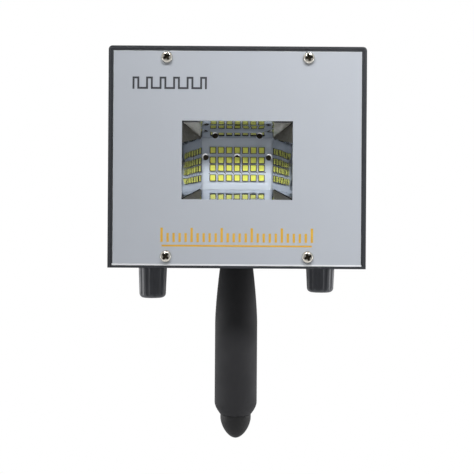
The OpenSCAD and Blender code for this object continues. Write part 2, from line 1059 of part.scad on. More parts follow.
// Can and threaded bush of a potentiometer, with three solder lugs
module potentiometer() {
    difference() {
        union() {
            translate([0, 0, sheet])
                cylinder(d = pot_d, h = pot_h);
            translate([0, 0, -bush_len])
                cylinder(d = bush_d, h = bush_len + sheet + over);
            for (i = [-1, 0, 1])
                translate([i * lug_pitch - lug_w / 2, pot_d / 4, sheet + lug_rise])
                    cube([lug_w, pot_d / 4 + lug_len, lug_t]);
        }
        translate([0, 0, -bush_len - over])
            cylinder(d = shaft_d + thread_fit, h = bush_len + sheet + shaft_root + 2 * over);
    }
}

module coarse_pot() {
    color("#8e9196")
        in_case()
            translate([-knob_x, 0, 0])
                potentiometer();
}

module fine_pot() {
    color("#8e9196")
        in_case()
            translate([knob_x, 0, 0])
                potentiometer();
}

module pot_washers() {
    color("#c2c3c5")
        in_case()
            at_knobs()
                translate([0, 0, -pot_washer_t])
                    ring(pot_washer_d, bush_d + close_fit, pot_washer_t);
}

module pot_nuts() {
    color("#c2c3c5")
        in_case()
            at_knobs()
                translate([0, 0, -pot_washer_t - pot_nut_h])
                    hex_nut(bush_d, pot_nut_af, pot_nut_h);
}

// Shaft with a flat on the part that drives the knob
module shaft() {
    difference() {
        translate([0, 0, -shaft_len])
            cylinder(d = shaft_d, h = shaft_len + sheet + shaft_root);
        translate([-shaft_d, shaft_flat, -shaft_len - over])
            cube([2 * shaft_d, shaft_d, shaft_len - bush_len - knob_rim + over]);
    }
}

module coarse_shaft() {
    color("#d0d1d3")
        in_case()
            translate([-knob_x, 0, 0])
                shaft();
}

module fine_shaft() {
    color("#d0d1d3")
        in_case()
            translate([knob_x, 0, 0])
                shaft();
}

// Fluted knob that hangs from the case, hollow above for the nut of the bush
module knob(h) {
    r_rim = knob_d / 2;
    r_end = knob_end_d / 2;
    lean = atan((r_rim - r_end) / h);
    end_z = -knob_gap - h;
    edge = knob_edge_r;
    corner = [r_end - edge, end_z + edge];
    difference() {
        rotate_extrude()
            polygon(concat(
                [[0, -knob_gap], [r_rim - knob_rim, -knob_gap], [r_rim, -knob_gap - knob_rim]],
                arc(corner, edge, lean, -90),
                [[0, end_z]]
            ));
        for (i = [0 : flutes - 1])
            rotate((i + 0.5) * 360 / flutes)
                translate([r_rim + flute_r - flute_depth, 0, -knob_gap])
                    rotate([0, lean, 0])
                        translate([0, 0, -h - over])
                            cylinder(r = flute_r, h = h + 3 * over, $fn = 32);
        translate([0, 0, -knob_gap - knob_cavity_h])
            cylinder(d = knob_cavity_d, h = knob_cavity_h + over);
        translate([-pointer_w / 2, -corner[0], end_z - over])
            cube([pointer_w, corner[0] - pointer_w, over + pointer_depth]);
        difference() {
            translate([0, 0, -shaft_len - blind_gap])
                cylinder(d = shaft_d + shaft_fit, h = shaft_len);
            translate([-shaft_d, shaft_flat + shaft_fit / 2, -shaft_len - over])
                cube([2 * shaft_d, shaft_d, shaft_len + over]);
        }
    }
}

module coarse_knob() {
    color("#35373b")
        in_case()
            translate([-knob_x, 0, 0])
                knob(coarse_knob_h);
}

module fine_knob() {
    color("#35373b")
        in_case()
            translate([knob_x, 0, 0])
                knob(fine_knob_h);
}

module handle_core() {
    dome = pommel_h - pommel_straight;
    color("#29292a")
        in_case()
            difference() {
                union() {
                    translate([0, 0, -grip_len - pommel_straight / 2])
                        cylinder(d = core_d, h = grip_len + pommel_straight / 2);
                    translate([0, 0, -grip_len])
                        rotate_extrude()
                            polygon(concat(
                                [[0, 0], [pommel_d / 2, 0]],
                                [for (i = [0 : 15]) [pommel_r(i / 16), -pommel_straight - dome * i / 16]],
                                [[0, -pommel_h]]
                            ));
                }
                translate([0, 0, -stud_in - stud_end_gap])
                    cylinder(d = stud_d + thread_fit, h = stud_in + stud_end_gap + over);
            }
}

module grip_sleeve() {
    bore_r = core_d / 2 + thread_fit / 2;
    color("#2b2b2c")
        in_case()
            rotate_extrude()
                polygon(concat(
                    [[bore_r, 0]],
                    [for (i = [0 : 14]) [swell_r(i / 14), -swell_len * i / 14]],
                    [for (i = [0 : 8]) [shoulder_r(i / 8), -grip_len + shoulder_len * (1 - i / 8)]],
                    [[bore_r, -grip_len]]
                ));
}

module handle_stud() {
    color("#a7a9ab")
        in_case()
            translate([0, 0, -stud_in])
                cylinder(d = stud_d, h = stud_in + sheet + handle_washer_t + handle_nut_h + stud_end);
}

module handle_washer() {
    color("#b4b6b8")
        in_case()
            translate([0, 0, sheet])
                ring(handle_washer_d, stud_d + free_fit, handle_washer_t);
}

module handle_nut() {
    color("#a7a9ab")
        in_case()
            translate([0, 0, sheet + handle_washer_t])
                hex_nut(stud_d, handle_nut_af, handle_nut_h);
}

// Outline of the plug recess, with its two upper corners cut off
module socket_outline() {
    polygon([
        [-socket_w / 2, -socket_h / 2], [socket_w / 2, -socket_h / 2],
        [socket_w / 2, socket_h / 2 - socket_cut], [socket_w / 2 - socket_cut, socket_h / 2],
        [-socket_w / 2 + socket_cut, socket_h / 2], [-socket_w / 2, socket_h / 2 - socket_cut]
    ]);
}

// Places children at the inlet on the outer face of the rear panel, as seen at the front
module at_inlet() {
    in_case()
        at_back()
            translate([inlet_x, front_y, inlet_z])
                children();
}

module inlet_housing() {
    color("#232325")
        at_inlet()
            difference() {
                union() {
                    translate([0, -inlet_flange_t, 0])
                        upright(inlet_flange_t)
                            rounded_outline(inlet_flange_w, inlet_flange_h, inlet_corner_r);
                    upright(inlet_depth)
                        square([inlet_body_w, inlet_body_h], center = true);
                }
                translate([0, -inlet_flange_t - over, 0])
                    upright(inlet_flange_t + over + inlet_depth - inlet_floor_t)
                        socket_outline();
                for (s = [-1, 1])
                    translate([s * inlet_screw_x, -inlet_flange_t - over, 0])
                        upright(inlet_flange_t + 2 * over)
                            circle(d = small_d + free_fit);
            }
}

module inlet_pins() {
    floor_y = inlet_depth - inlet_floor_t;
    color("#cfc39a")
        at_inlet()
            for (p = [[-pin_x, -pin_z], [pin_x, -pin_z], [0, pin_z]]) {
                translate([p[0], floor_y - pin_len, p[1]])
                    upright(pin_len)
                        square([pin_w, pin_h], center = true);
                translate([p[0], inlet_depth, p[1]])
                    upright(tab_len)
                        square([tab_t, tab_w], center = true);
            }
}

module inlet_screws() {
    color("#c9c9c6")
        at_inlet()
            for (s = [-1, 1])
                translate([s * inlet_screw_x, -inlet_flange_t, 0])
                    rotate([90, 0, 0])
                        pan_screw(small_d, inlet_flange_t + panel_t + small_nut_h + screw_end);
}

module inlet_nuts() {
    color("#a9aaac")
        at_inlet()
            for (s = [-1, 1])
                translate([s * inlet_screw_x, panel_t + small_nut_h, 0])
                    rotate([90, 0, 0])
                        hex_nut(small_d, small_nut_af, small_nut_h);
}

// Places children at the switch on the outer face of the rear panel, as seen at the front
module at_switch() {
    in_case()
        at_back()
            translate([switch_x, front_y, switch_z])
                children();
}

module switch_housing() {
    pivot_y = -switch_frame_t + pivot_in;
    color("#1f1f21")
        at_switch()
            difference() {
                union() {
                    translate([0, -switch_frame_t, 0])
                        upright(switch_frame_t)
                            rounded_outline(switch_w, switch_len, switch_corner_r);
                    upright(switch_depth)
                        square([switch_body_w, switch_body_len], center = true);
                }
                translate([0, -switch_frame_t - over, 0])
                    upright(switch_frame_t + over + well_depth)
                        square([well_w, well_len], center = true);
                translate([-well_w / 2 - pivot_len, pivot_y, 0])
                    rotate([0, 90, 0])
                        cylinder(d = pivot_d + thread_fit, h = well_w + 2 * pivot_len);
            }
}

module switch_terminals() {
    color("#cfc39a")
        at_switch()
            for (s = [-1, 1])
                translate([0, switch_depth, s * switch_tab_z])
                    upright(tab_len)
                        square([switch_tab_w, tab_t], center = true);
}

// Outline of the rocker across its pivot, with z along x and outwards along y
module rocker_outline() {
    ends = rocker_rise + rocker_r * tan(rocker_tilt);
    intersection() {
        circle(rocker_r);
        polygon([
            [-rocker_r, -rocker_root], [rocker_r, -rocker_root],
            [rocker_r, ends], [0, rocker_rise], [-rocker_r, ends]
        ]);
    }
}

module rocker() {
    color("#26272a")
        at_switch()
            translate([0, -switch_frame_t + pivot_in, 0])
                rotate([-rocker_tilt, 0, 0]) {
                    translate([rocker_w / 2, 0, 0])
                        rotate([0, -90, 0])
                            linear_extrude(rocker_w)
                                mirror([0, 1])
                                    rocker_outline();
                    translate([-rocker_w / 2 - pivot_len, 0, 0])
                        rotate([0, 90, 0])
                            cylinder(d = pivot_d, h = rocker_w + 2 * pivot_len);
                }
}

case_cover();
chassis();
front_panel();
rear_panel();
front_rails();
rear_rails();
front_panel_screws();
rear_panel_screws();
front_panel_nuts();
rear_panel_nuts();
cover_screws();
reflector();
lamp_board();
lamp_leds();
lamp_board_screws();
heat_sink();
lamp_bracket();
bracket_screws();
bracket_nuts();
supply_board();
supply_parts();
driver_board();
driver_parts();
board_standoffs();
board_screws();
coarse_pot();
fine_pot();
pot_washers();
pot_nuts();
coarse_shaft();
fine_shaft();
coarse_knob();
fine_knob();
handle_core();
grip_sleeve();
handle_stud();
handle_washer();
handle_nut();
inlet_housing();
inlet_pins();
inlet_screws();
inlet_nuts();
switch_housing();
switch_terminals();
rocker();
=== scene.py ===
"""Dress the hand-held stroboscope: finishes, fine meshes, camera and studio.

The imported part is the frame. It is in metres, with Z up and the lamp window looking
along -Y. Sizes and places below are in millimetres in that same frame, and a mesh is
turned to metres when its piece is made.
"""

import logging
import math
from dataclasses import dataclass
from enum import Enum
from typing import Any, Sequence

import bmesh
import bpy
from mathutils import Matrix, Vector
from mathutils.geometry import tessellate_polygon


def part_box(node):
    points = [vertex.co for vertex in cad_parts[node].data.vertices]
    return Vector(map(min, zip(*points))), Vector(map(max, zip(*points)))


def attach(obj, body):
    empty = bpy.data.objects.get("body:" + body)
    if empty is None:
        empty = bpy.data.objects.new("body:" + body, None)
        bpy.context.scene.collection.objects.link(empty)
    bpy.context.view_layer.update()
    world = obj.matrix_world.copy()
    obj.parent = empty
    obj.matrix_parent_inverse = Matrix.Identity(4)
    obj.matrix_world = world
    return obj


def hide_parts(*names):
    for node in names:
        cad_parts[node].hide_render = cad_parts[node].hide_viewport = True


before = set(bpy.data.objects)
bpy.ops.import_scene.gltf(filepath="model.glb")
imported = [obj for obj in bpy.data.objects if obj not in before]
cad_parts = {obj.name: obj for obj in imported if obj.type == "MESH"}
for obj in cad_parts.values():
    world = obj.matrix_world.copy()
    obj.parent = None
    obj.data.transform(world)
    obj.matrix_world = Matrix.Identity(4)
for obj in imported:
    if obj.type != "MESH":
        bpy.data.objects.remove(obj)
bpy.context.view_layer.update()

LOG = logging.getLogger("stroboscope")
MM = 0.001
WHITE = (1.0, 1.0, 1.0, 1.0)
# Edges shorter than this many millimetres are taken out of a mesh
NO_LENGTH = 1e-5
# Signs of X and Z at the corners of a rectangle, in order
CORNERS = ((1, 1), (-1, 1), (-1, -1), (1, -1))
# Middle of the lamp window
WINDOW_X, WINDOW_Z = 0.0, 126.25
# Places of the screws in the front and the rear panel
PANEL_SCREW_X = 47.2
PANEL_SCREW_Z = (62.05, 194.45)
# Most values of a noise pattern lie between these two
CLOUD_LOW, CLOUD_HIGH = 0.3, 0.7
LEAST_ROUGHNESS = 0.02
# Place of the middle line of an eased rim, as a share of the width of the ease
EASE_SHARE = 0.3
# Sockets of a node that mixes two colours
MIX_SHARE, MIX_FROM, MIX_TO, MIX_RESULT = 0, 6, 7, 2

Pair = tuple[float, float]
Point = tuple[float, float, float]
Mesh = bmesh.types.BMesh
Tree = bpy.types.NodeTree
Socket = bpy.types.NodeSocket


class Body(Enum):
    """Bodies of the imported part."""

    CASE = "case"
    COARSE = "coarse_control"
    FINE = "fine_control"
    SWITCH = "switch_rocker"


class Slot(Enum):
    """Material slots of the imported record."""

    CASE_PAINT = "case_paint"
    PANEL_FACE = "panel_face"
    SCREW_NICKEL = "screw_nickel"
    ZINC_STEEL = "zinc_steel"
    MIRROR_SHEET = "mirror_sheet"
    LAMP_BOARD_WHITE = "lamp_board_white"
    LED_PHOSPHOR = "led_phosphor"
    SINK_ALUMINIUM = "sink_aluminium"
    BOARD_GREEN = "board_green"
    COMPONENT_BLACK = "component_black"
    KNOB_PLASTIC = "knob_plastic"
    GRIP_RUBBER = "grip_rubber"
    HANDLE_NYLON = "handle_nylon"
    FITTING_PLASTIC = "fitting_plastic"
    CONTACT_BRASS = "contact_brass"


class Relief(Enum):
    """How the relief of a finish runs, as a stretch of its pattern along X, Y and Z."""

    EVEN = (1.0, 1.0, 1.0)
    ALONG_X = (0.04, 1.0, 1.0)
    ALONG_Y = (1.0, 0.04, 1.0)
    ALONG_Z = (1.0, 1.0, 0.04)


def linear(colour: str) -> tuple[float, float, float, float]:
    """Turn an sRGB hex value into a linear colour.

    Args:
        colour: Hex value such as "#3b3d42".

    Returns:
        Linear red, green and blue with full alpha.
    """
    shares = [int(colour[i : i + 2], 16) / 255 for i in (1, 3, 5)]
    red, green, blue = (
        s / 12.92 if s <= 0.04045 else ((s + 0.055) / 1.055) ** 2.4 for s in shares
    )
    return (red, green, blue, 1.0)


def bare_tree(owner: bpy.types.Material | bpy.types.World) -> Tree:
    """Clear the node tree of a material or a world.

    Args:
        owner: Material or world.

    Returns:
        Its empty node tree.
    """
    owner.use_nodes = True
    owner.node_tree.nodes.clear()
    return owner.node_tree


def add(
    tree: Tree, kind: str, inputs: dict[str | int, Any] | None = None, **settings: Any
) -> bpy.types.Node:
    """Add a node with its settings and links.

    Args:
        tree: Node tree that gets the node.
        kind: Type name of the node.
        inputs: For each input by name or number, its value or the socket that feeds it.
        settings: Attributes of the node.

    Returns:
        The new node.
    """
    node = tree.nodes.new(kind)
    for name, value in settings.items():
        setattr(node, name, value)
    for name, value in (inputs or {}).items():
        if isinstance(value, Socket):
            tree.links.new(value, node.inputs[name])
        else:
            node.inputs[name].default_value = value
    return node


@dataclass(frozen=True)
class Finish:
    """A real surface that is made into a material.

    Attributes:
        name: Common name of the material and how its surface was made.
        slot: Material slot of the record that it belongs to. Not used.
        colour: Main colour as an sRGB hex value.
        drift: Colour that it drifts to in patches.
        roughness: Mean roughness.
        metallic: 1 for bare metal, otherwise 0.
        ior: Index of refraction of anything but metal.
        patch: Size of the patches of drifting colour.
        grain: Spacing of the relief.
        depth: Height of the relief.
        relief: How the relief runs.
        gloss_spread: Amount by which the roughness varies to either side.
        shine: Level of the mirror-like reflection, with 0.5 for a smooth skin.
        edge: Radius to which the finish eases sharp edges.
        edge_samples: Number of samples for an eased edge.
    """

    name: str
    slot: Slot
    colour: str
    drift: str
    roughness: float
    metallic: float = 0.0
    ior: float = 1.5
    patch: float = 12.0
    grain: float = 0.5
    depth: float = 0.005
    relief: Relief = Relief.EVEN
    gloss_spread: float = 0.05
    shine: float = 0.5
    edge: float = 0.0
    edge_samples: int = 6

    def material(self) -> bpy.types.Material:
        """Make the material, or find the one that was made before.

        Returns:
            The material.
        """
        made = bpy.data.materials.get(self.name)
        if made is not None:
            return made
        made = bpy.data.materials.new(self.name)
        made.diffuse_color = linear(self.colour)
        tree = bare_tree(made)
        place = add(tree, "ShaderNodeTexCoord").outputs["Object"]
        look = {"Metallic": self.metallic, **self.tint(tree, place)}
        if not self.metallic:
            look |= {"IOR": self.ior, "Specular IOR Level": self.shine}
        bump = {"Height": self.height(tree, place), "Distance": self.depth * MM}
        if self.edge:
            radius = {"Radius": self.edge * MM}
            eased = add(tree, "ShaderNodeBevel", radius, samples=self.edge_samples)
            bump["Normal"] = eased.outputs["Normal"]
        look["Normal"] = add(tree, "ShaderNodeBump", bump).outputs["Normal"]
        shader = add(tree, "ShaderNodeBsdfPrincipled", look)
        add(tree, "ShaderNodeOutputMaterial", {"Surface": shader.outputs["BSDF"]})
        return made

    def tint(self, tree: Tree, place: Socket) -> dict[str, Any]:
        """Let the colour and the gloss drift in patches.

        Args:
            tree: Node tree of the material.
            place: Socket with the place on the object, in metres.

        Returns:
            Colour and roughness for the shader.
        """
        spots = {"Vector": place, "Scale": 1 / (self.patch * MM), "Detail": 3.0}
        cloud = add(tree, "ShaderNodeTexNoise", spots).outputs["Fac"]
        ends = {MIX_SHARE: cloud, MIX_FROM: linear(self.colour), MIX_TO: linear(self.drift)}
        mix = add(tree, "ShaderNodeMix", ends, data_type="RGBA")
        span = {
            "Value": cloud,
            "From Min": CLOUD_LOW,
            "From Max": CLOUD_HIGH,
            "To Min": max(self.roughness - self.gloss_spread, LEAST_ROUGHNESS),
            "To Max": min(self.roughness + self.gloss_spread, 1.0),
        }
        gloss = add(tree, "ShaderNodeMapRange", span)
        return {"Base Color": mix.outputs[MIX_RESULT], "Roughness": gloss.outputs["Result"]}

    def height(self, tree: Tree, place: Socket) -> Socket:
        """Give the surface its fine grain.

        Args:
            tree: Node tree of the material.
            place: Socket with the place on the object, in metres.

        Returns:
            Socket with the height of the relief.
        """
        ways = {0: place, 1: self.relief.value}
        stretch = add(tree, "ShaderNodeVectorMath", ways, operation="MULTIPLY").outputs["Vector"]
        grit = {"Vector": stretch, "Scale": 1 / (self.grain * MM), "Detail": 2.0}
        return add(tree, "ShaderNodeTexNoise", grit).outputs["Fac"]


@dataclass(frozen=True)
class WrinkleCoat(Finish):
    """Powder coat that shrank into fine wrinkles as it was baked."""

    def height(self, tree: Tree, place: Socket) -> Socket:
        """Give the coat crinkled cells in place of a soft grain.

        Args:
            tree: Node tree of the material.
            place: Socket with the place on the object, in metres.

        Returns:
            Socket with the height of the relief.
        """
        grain = self.grain * MM
        # The cells are bent by a noise of twice their spacing
        waves = {"Vector": place, "Scale": 0.5 / grain, "Detail": 1.0}
        bend = add(tree, "ShaderNodeTexNoise", waves).outputs["Color"]
        shift = {0: bend, 1: (grain,) * 3, 2: place}
        bent = add(tree, "ShaderNodeVectorMath", shift, operation="MULTIPLY_ADD").outputs["Vector"]
        cells = {"Vector": bent, "Scale": 1 / grain}
        return add(tree, "ShaderNodeTexVoronoi", cells, feature="SMOOTH_F1").outputs["Distance"]


@dataclass(frozen=True)
class TracedBoard(Finish):
    """Circuit board whose conductors show through the coloured resist.

    Attributes:
        track: Colour of the resist where it lies on copper.
        pitch: Spacing of the conductors.
        scatter: How freely they run, from 0 for a grid to 1.
        brink: Values of the pattern between which the resist climbs onto the copper.
    """

    track: str = "#3f8a57"
    pitch: float = 3.0
    scatter: float = 0.8
    brink: Pair = (0.62, 0.66)

    def tint(self, tree: Tree, place: Socket) -> dict[str, Any]:
        """Draw conductors as a lighter pattern in the resist.

        Args:
            tree: Node tree of the material.
            place: Socket with the place on the object, in metres.

        Returns:
            Colour and roughness for the shader.
        """
        face = {0: place, 1: (0.0, 1.0, 1.0)}
        flat = add(tree, "ShaderNodeVectorMath", face, operation="MULTIPLY").outputs["Vector"]
        grid = {"Vector": flat, "Scale": 1 / (self.pitch * MM), "Randomness": self.scatter}
        cells = add(tree, "ShaderNodeTexVoronoi", grid, distance="CHEBYCHEV", feature="F2")
        low, high = self.brink
        span = {"Value": cells.outputs["Distance"], "From Min": low, "From Max": high}
        copper = add(tree, "ShaderNodeMapRange", span).outputs["Result"]
        ends = {MIX_SHARE: copper, MIX_FROM: linear(self.colour), MIX_TO: linear(self.track)}
        mix = add(tree, "ShaderNodeMix", ends, data_type="RGBA")
        return {"Base Color": mix.outputs[MIX_RESULT], "Roughness": self.roughness}


# Polyester powder coat, oven baked: dark grey with a sparkle from its fine wrinkles. They
# are about 0.4 mm apart and are drawn coarser so that they show.
CASE_COAT = WrinkleCoat(
    "wrinkled_powder_coat", Slot.CASE_PAINT, "#393b3f", "#313337", 0.5, grain=1.1, depth=0.22,
    edge=0.5, shine=0.3,
)
# Satin stoved lacquer on aluminium sheet: pale blue grey with a soft sheen.
PANEL_LACQUER = Finish(
    "satin_stoved_lacquer", Slot.PANEL_FACE, "#bbc0c8", "#b6bbc3", 0.42, grain=0.8, depth=0.006,
    patch=40.0,
)
# Aluminium left bare where the panel was milled: bright fine lines along the edge.
MILLED_EDGE = Finish(
    "milled_aluminium", Slot.PANEL_FACE, "#dcdee0", "#cfd2d6", 0.24, metallic=1.0, grain=0.4,
    depth=0.004, relief=Relief.ALONG_X,
)
# Painted highlight: a thin white line along the foot of the panel and on its chamfer, standing in
# for the light that the panel's edge catches.
HIGHLIGHT_LINE = Finish(
    "painted_highlight_line", Slot.PANEL_FACE, "#ebedef", "#e0e3e6", 0.5, patch=6.0, grain=0.3,
)
# Rubber strip, extruded and pressed into the gap round the panel: dull dark grey.
SEAL_RUBBER = Finish(
    "extruded_rubber_seal", Slot.GRIP_RUBBER, "#37393d", "#2f3135", 0.6, patch=5.0, grain=0.4,
    shine=0.3,
)
# Nickel plate on pressed steel: warm bright metal. The darker metal in the recess is painted shade.
NICKEL = Finish(
    "nickel_plated_steel", Slot.SCREW_NICKEL, "#e2ded5", "#cfcabf", 0.17, metallic=1.0, patch=2.0,
    grain=0.7, depth=0.01, gloss_spread=0.08,
)
# Zinc plate, passivated: cool grey metal with cloudy patches.
ZINC = Finish(
    "zinc_plated_steel", Slot.ZINC_STEEL, "#b9bdc2", "#a3a9b1", 0.34, metallic=1.0, patch=4.0,
    grain=0.6, depth=0.006, gloss_spread=0.1, edge=0.2,
)
# Aluminium sheet rolled to a mirror: clear reflections that waver with the rolling.
MIRROR = Finish(
    "rolled_mirror_aluminium", Slot.MIRROR_SHEET, "#d3d6db", "#c4c8ce", 0.06, metallic=1.0,
    patch=9.0, grain=11.0, depth=0.12, gloss_spread=0.03,
)
# White epoxy solder resist, printed and cured: even, slightly glossy and cool.
WHITE_RESIST = Finish(
    "white_solder_resist", Slot.LAMP_BOARD_WHITE, "#dde6f1", "#d5dfea", 0.42, grain=0.6,
    depth=0.004,
)
# Silicone filled with yellow phosphor and cast in the package: grainy strong yellow.
PHOSPHOR = Finish(
    "cast_yellow_phosphor", Slot.LED_PHOSPHOR, "#f8fa7c", "#f2f461", 0.45, patch=0.8, grain=0.3,
    depth=0.02,
)
# Dark, dull plum rims round the lamp faces: painted shade, standing in for the dark lines of shade
# round each lamp.
LAMP_RIM = Finish(
    "lamp_rim_painted_shade", Slot.LED_PHOSPHOR, "#3d3747", "#322d3b", 0.55, patch=1.5, grain=0.3,
    depth=0.006,
)
# Copper eyelets, rolled over and tinned: bright soft metal that mirrors what lies below.
TINNED = Finish(
    "tinned_eyelet", Slot.LAMP_BOARD_WHITE, "#f0f1f2", "#e6e8ea", 0.2, metallic=1.0, patch=1.5,
    grain=1.0, depth=0.005,
)
# Painted shade: dark, dull metal for the walls of the screws' cross recesses, the floors and lower
# bores of the open holes in the lamp board and the small plated dots, standing in for the shade in
# their depths.
RECESS_SHADE = Finish(
    "recess_painted_shade", Slot.SCREW_NICKEL, "#4a4439", "#37322a", 0.45, metallic=1.0, patch=1.0,
    grain=0.4, depth=0.02,
)
# Painted shade: dark, dull metal for the cut edges of the mirror sheet and for the strips behind
# the funnel's seams, so that seams and edges read as dark lines.
EDGE_SHADE = Finish(
    "edge_painted_shade", Slot.MIRROR_SHEET, "#3f4043", "#2f3033", 0.6, metallic=1.0,
    patch=2.0, grain=0.3, depth=0.02,
)
# Aluminium sheet as it left the mill, dulled by its oxide: hazy grey, no clear reflections.
MILL_SHEET = Finish(
    "oxidised_mill_aluminium", Slot.MIRROR_SHEET, "#918f88", "#72706a", 0.45, metallic=1.0,
    patch=2.0, grain=0.6, depth=0.03, relief=Relief.ALONG_X,
)
# Extruded aluminium: pale metal with fine die lines along the extrusion.
SINK = Finish(
    "extruded_aluminium", Slot.SINK_ALUMINIUM, "#bcc0c5", "#adb2b8", 0.4, metallic=1.0,
    grain=0.5, depth=0.02, relief=Relief.ALONG_Z,
)
# Glass epoxy board under green resist: tracks show as a paler green.
GREEN_BOARD = TracedBoard("green_resist_board", Slot.BOARD_GREEN, "#2b6641", "#2b6641", 0.34)
# Epoxy moulding compound: near black with a fine matt grain.
EPOXY_PARTS = Finish(
    "moulded_black_epoxy", Slot.COMPONENT_BLACK, "#2c2d30", "#232427", 0.5, grain=0.4, depth=0.01,
)
# ABS moulded in a spark-eroded tool: charcoal with a dry satin grain. The grain is about
# 0.1 mm and is drawn coarser so that it shows.
KNOB_ABS = Finish(
    "moulded_charcoal_abs", Slot.KNOB_PLASTIC, "#484a50", "#404247", 0.5, grain=0.4, depth=0.012,
    shine=0.4,
)
# Rubber moulded over the handle: black and matt with a slight bloom.
GRIP_RUBBER = Finish(
    "moulded_black_rubber", Slot.GRIP_RUBBER, "#333335", "#2d2d2f", 0.75, patch=18.0, grain=0.5,
    depth=0.02, gloss_spread=0.06, shine=0.15,
)
# Glass-filled nylon, moulded: black and a little shinier than the rubber.
HANDLE_NYLON = Finish(
    "moulded_black_nylon", Slot.HANDLE_NYLON, "#252526", "#212122", 0.6, grain=0.5, depth=0.015,
    shine=0.2,
)
# Polyester moulding for mains fittings: black with a smooth satin skin.
FITTING = Finish(
    "moulded_black_polyester", Slot.FITTING_PLASTIC, "#232427", "#1d1e20", 0.36, grain=0.5,
    depth=0.006, edge=0.4,
)
# Brass strip, stamped and nickel flashed: pale yellow metal.
CONTACT = Finish(
    "stamped_brass", Slot.CONTACT_BRASS, "#d6c68f", "#c4b27a", 0.28, metallic=1.0, patch=3.0,
    grain=0.4, depth=0.005, relief=Relief.ALONG_Y,
)
# Screen ink: flat colour with a slight orange peel.
DARK_INK = Finish(
    "dark_screen_ink", Slot.PANEL_FACE, "#3a3c42", "#34363b", 0.45, patch=3.0, grain=0.4,
)
# Bronze powder ink: gold that catches the light unevenly.
GOLD_INK = Finish(
    "gold_bronze_ink", Slot.PANEL_FACE, "#d9a62e", "#e2b647", 0.4, patch=4.0, grain=0.3,
    depth=0.008,
)
# Pad-printed white ink for marks on black plastic: clean and matt.
WHITE_INK = Finish(
    "white_pad_ink", Slot.FITTING_PLASTIC, "#e9eaec", "#dddee1", 0.5, patch=2.0, grain=0.3,
)


@dataclass(frozen=True)
class Outline:
    """A rounded rectangle in X and Z, which may be a circle.

    Attributes:
        centre: X and Z of its middle.
        half: Half of its width and of its height.
        corner: Radius of its corners, or 0 for sharp ones.
        steps: Number of points on each corner.
    """

    centre: Pair
    half: Pair
    corner: float = 0.0
    steps: int = 1

    def ring(self, inset: float, y: float) -> list[Point]:
        """Give the points of the outline, drawn in by an amount.

        Args:
            inset: Amount by which the outline is drawn in, negative for out.
            y: Y of the points.

        Returns:
            Points in order, with their front on -Y.
        """
        corner = max(self.corner - inset, 0.0) if self.corner else 0.0
        reach_x, reach_z = (half - inset - corner for half in self.half)
        points = []
        for quarter, (sx, sz) in enumerate(CORNERS):
            for i in range(self.steps):
                share = i / (self.steps - 1) if self.steps > 1 else 0.5
                angle = math.radians(90 * (quarter + share))
                x = self.centre[0] + sx * reach_x + corner * math.cos(angle)
                z = self.centre[1] + sz * reach_z + corner * math.sin(angle)
                points.append((x, y, z))
        return points


# An outline, inset and Y of its edge lines from front to back, material of each strip
Edge = tuple[Outline, Sequence[Pair], Sequence[int]]


def circle(x: float, z: float, radius: float, steps: int = 8) -> Outline:
    """Give a circle as an outline of four round corners."""
    return Outline((x, z), (radius, radius), radius, steps)


def rectangle(low: Sequence[float], high: Sequence[float]) -> Outline:
    """Give the outline in X and Z of a box between two corners."""
    (x0, _, z0), (x1, _, z1) = low, high
    return Outline(((x0 + x1) / 2, (z0 + z1) / 2), ((x1 - x0) / 2, (z1 - z0) / 2))


def skin(
    bm: Mesh, rings: Sequence[Sequence[Point]], materials: Sequence[int] = ()
) -> list[list[bmesh.types.BMVert]]:
    """Join closed rings of equal count by quads.

    Args:
        bm: Mesh that gets the faces.
        rings: Rings of points in order.
        materials: Material number of each strip between two rings, or none for all 0.

    Returns:
        The vertices of each ring.
    """
    made = [[bm.verts.new(p) for p in ring] for ring in rings]
    for k, (a, b) in enumerate(zip(made, made[1:])):
        for i in range(len(a)):
            j = (i + 1) % len(a)
            face = bm.faces.new((a[i], a[j], b[j], b[i]))
            face.material_index = materials[k] if materials else 0
    return made


def fill(bm: Mesh, rings: Sequence[Sequence[bmesh.types.BMVert]], material: int = 0) -> None:
    """Fill a flat face between an outer ring and the rings of its holes.

    Args:
        bm: Mesh that gets the faces.
        rings: Vertices of the outer ring and then of each hole.
        material: Material number of the faces.
    """
    flat = [v for ring in rings for v in ring]
    for corners in tessellate_polygon([[v.co for v in ring] for ring in rings]):
        bm.faces.new([flat[i] for i in corners]).material_index = material


def plate(bm: Mesh, edges: Sequence[Edge], material: int = 0) -> None:
    """Make a flat plate with holes and shaped edges.

    Args:
        bm: Mesh that gets the plate.
        edges: Edge of the outside first and then of each hole.
        material: Material number of the front face and the back face.
    """
    sides = [
        skin(bm, [outline.ring(inset, y) for inset, y in profile], strips)
        for outline, profile, strips in edges
    ]
    for end in (0, -1):
        fill(bm, [side[end] for side in sides], material)


def revolve(bm: Mesh, profile: Sequence[Pair], steps: int) -> None:
    """Turn a profile about the Z axis.

    Args:
        bm: Mesh that gets the faces.
        profile: Radius and height of each point, in order.
        steps: Number of steps round the axis.
    """
    turns = [math.tau * i / steps for i in range(steps)]
    rows = []
    for radius, height in profile:
        # A point on the axis is a single vertex
        angles = turns if radius > NO_LENGTH else turns[:1]
        ring = [(radius * math.cos(a), radius * math.sin(a), height) for a in angles]
        rows.append([bm.verts.new(p) for p in ring])
    for a, b in zip(rows, rows[1:]):
        for i in range(steps):
            j = (i + 1) % steps
            corners = (a[i % len(a)], a[j % len(a)], b[j % len(b)], b[i % len(b)])
            distinct = list(dict.fromkeys(corners))
            if len(distinct) > 2:
                bm.faces.new(distinct)


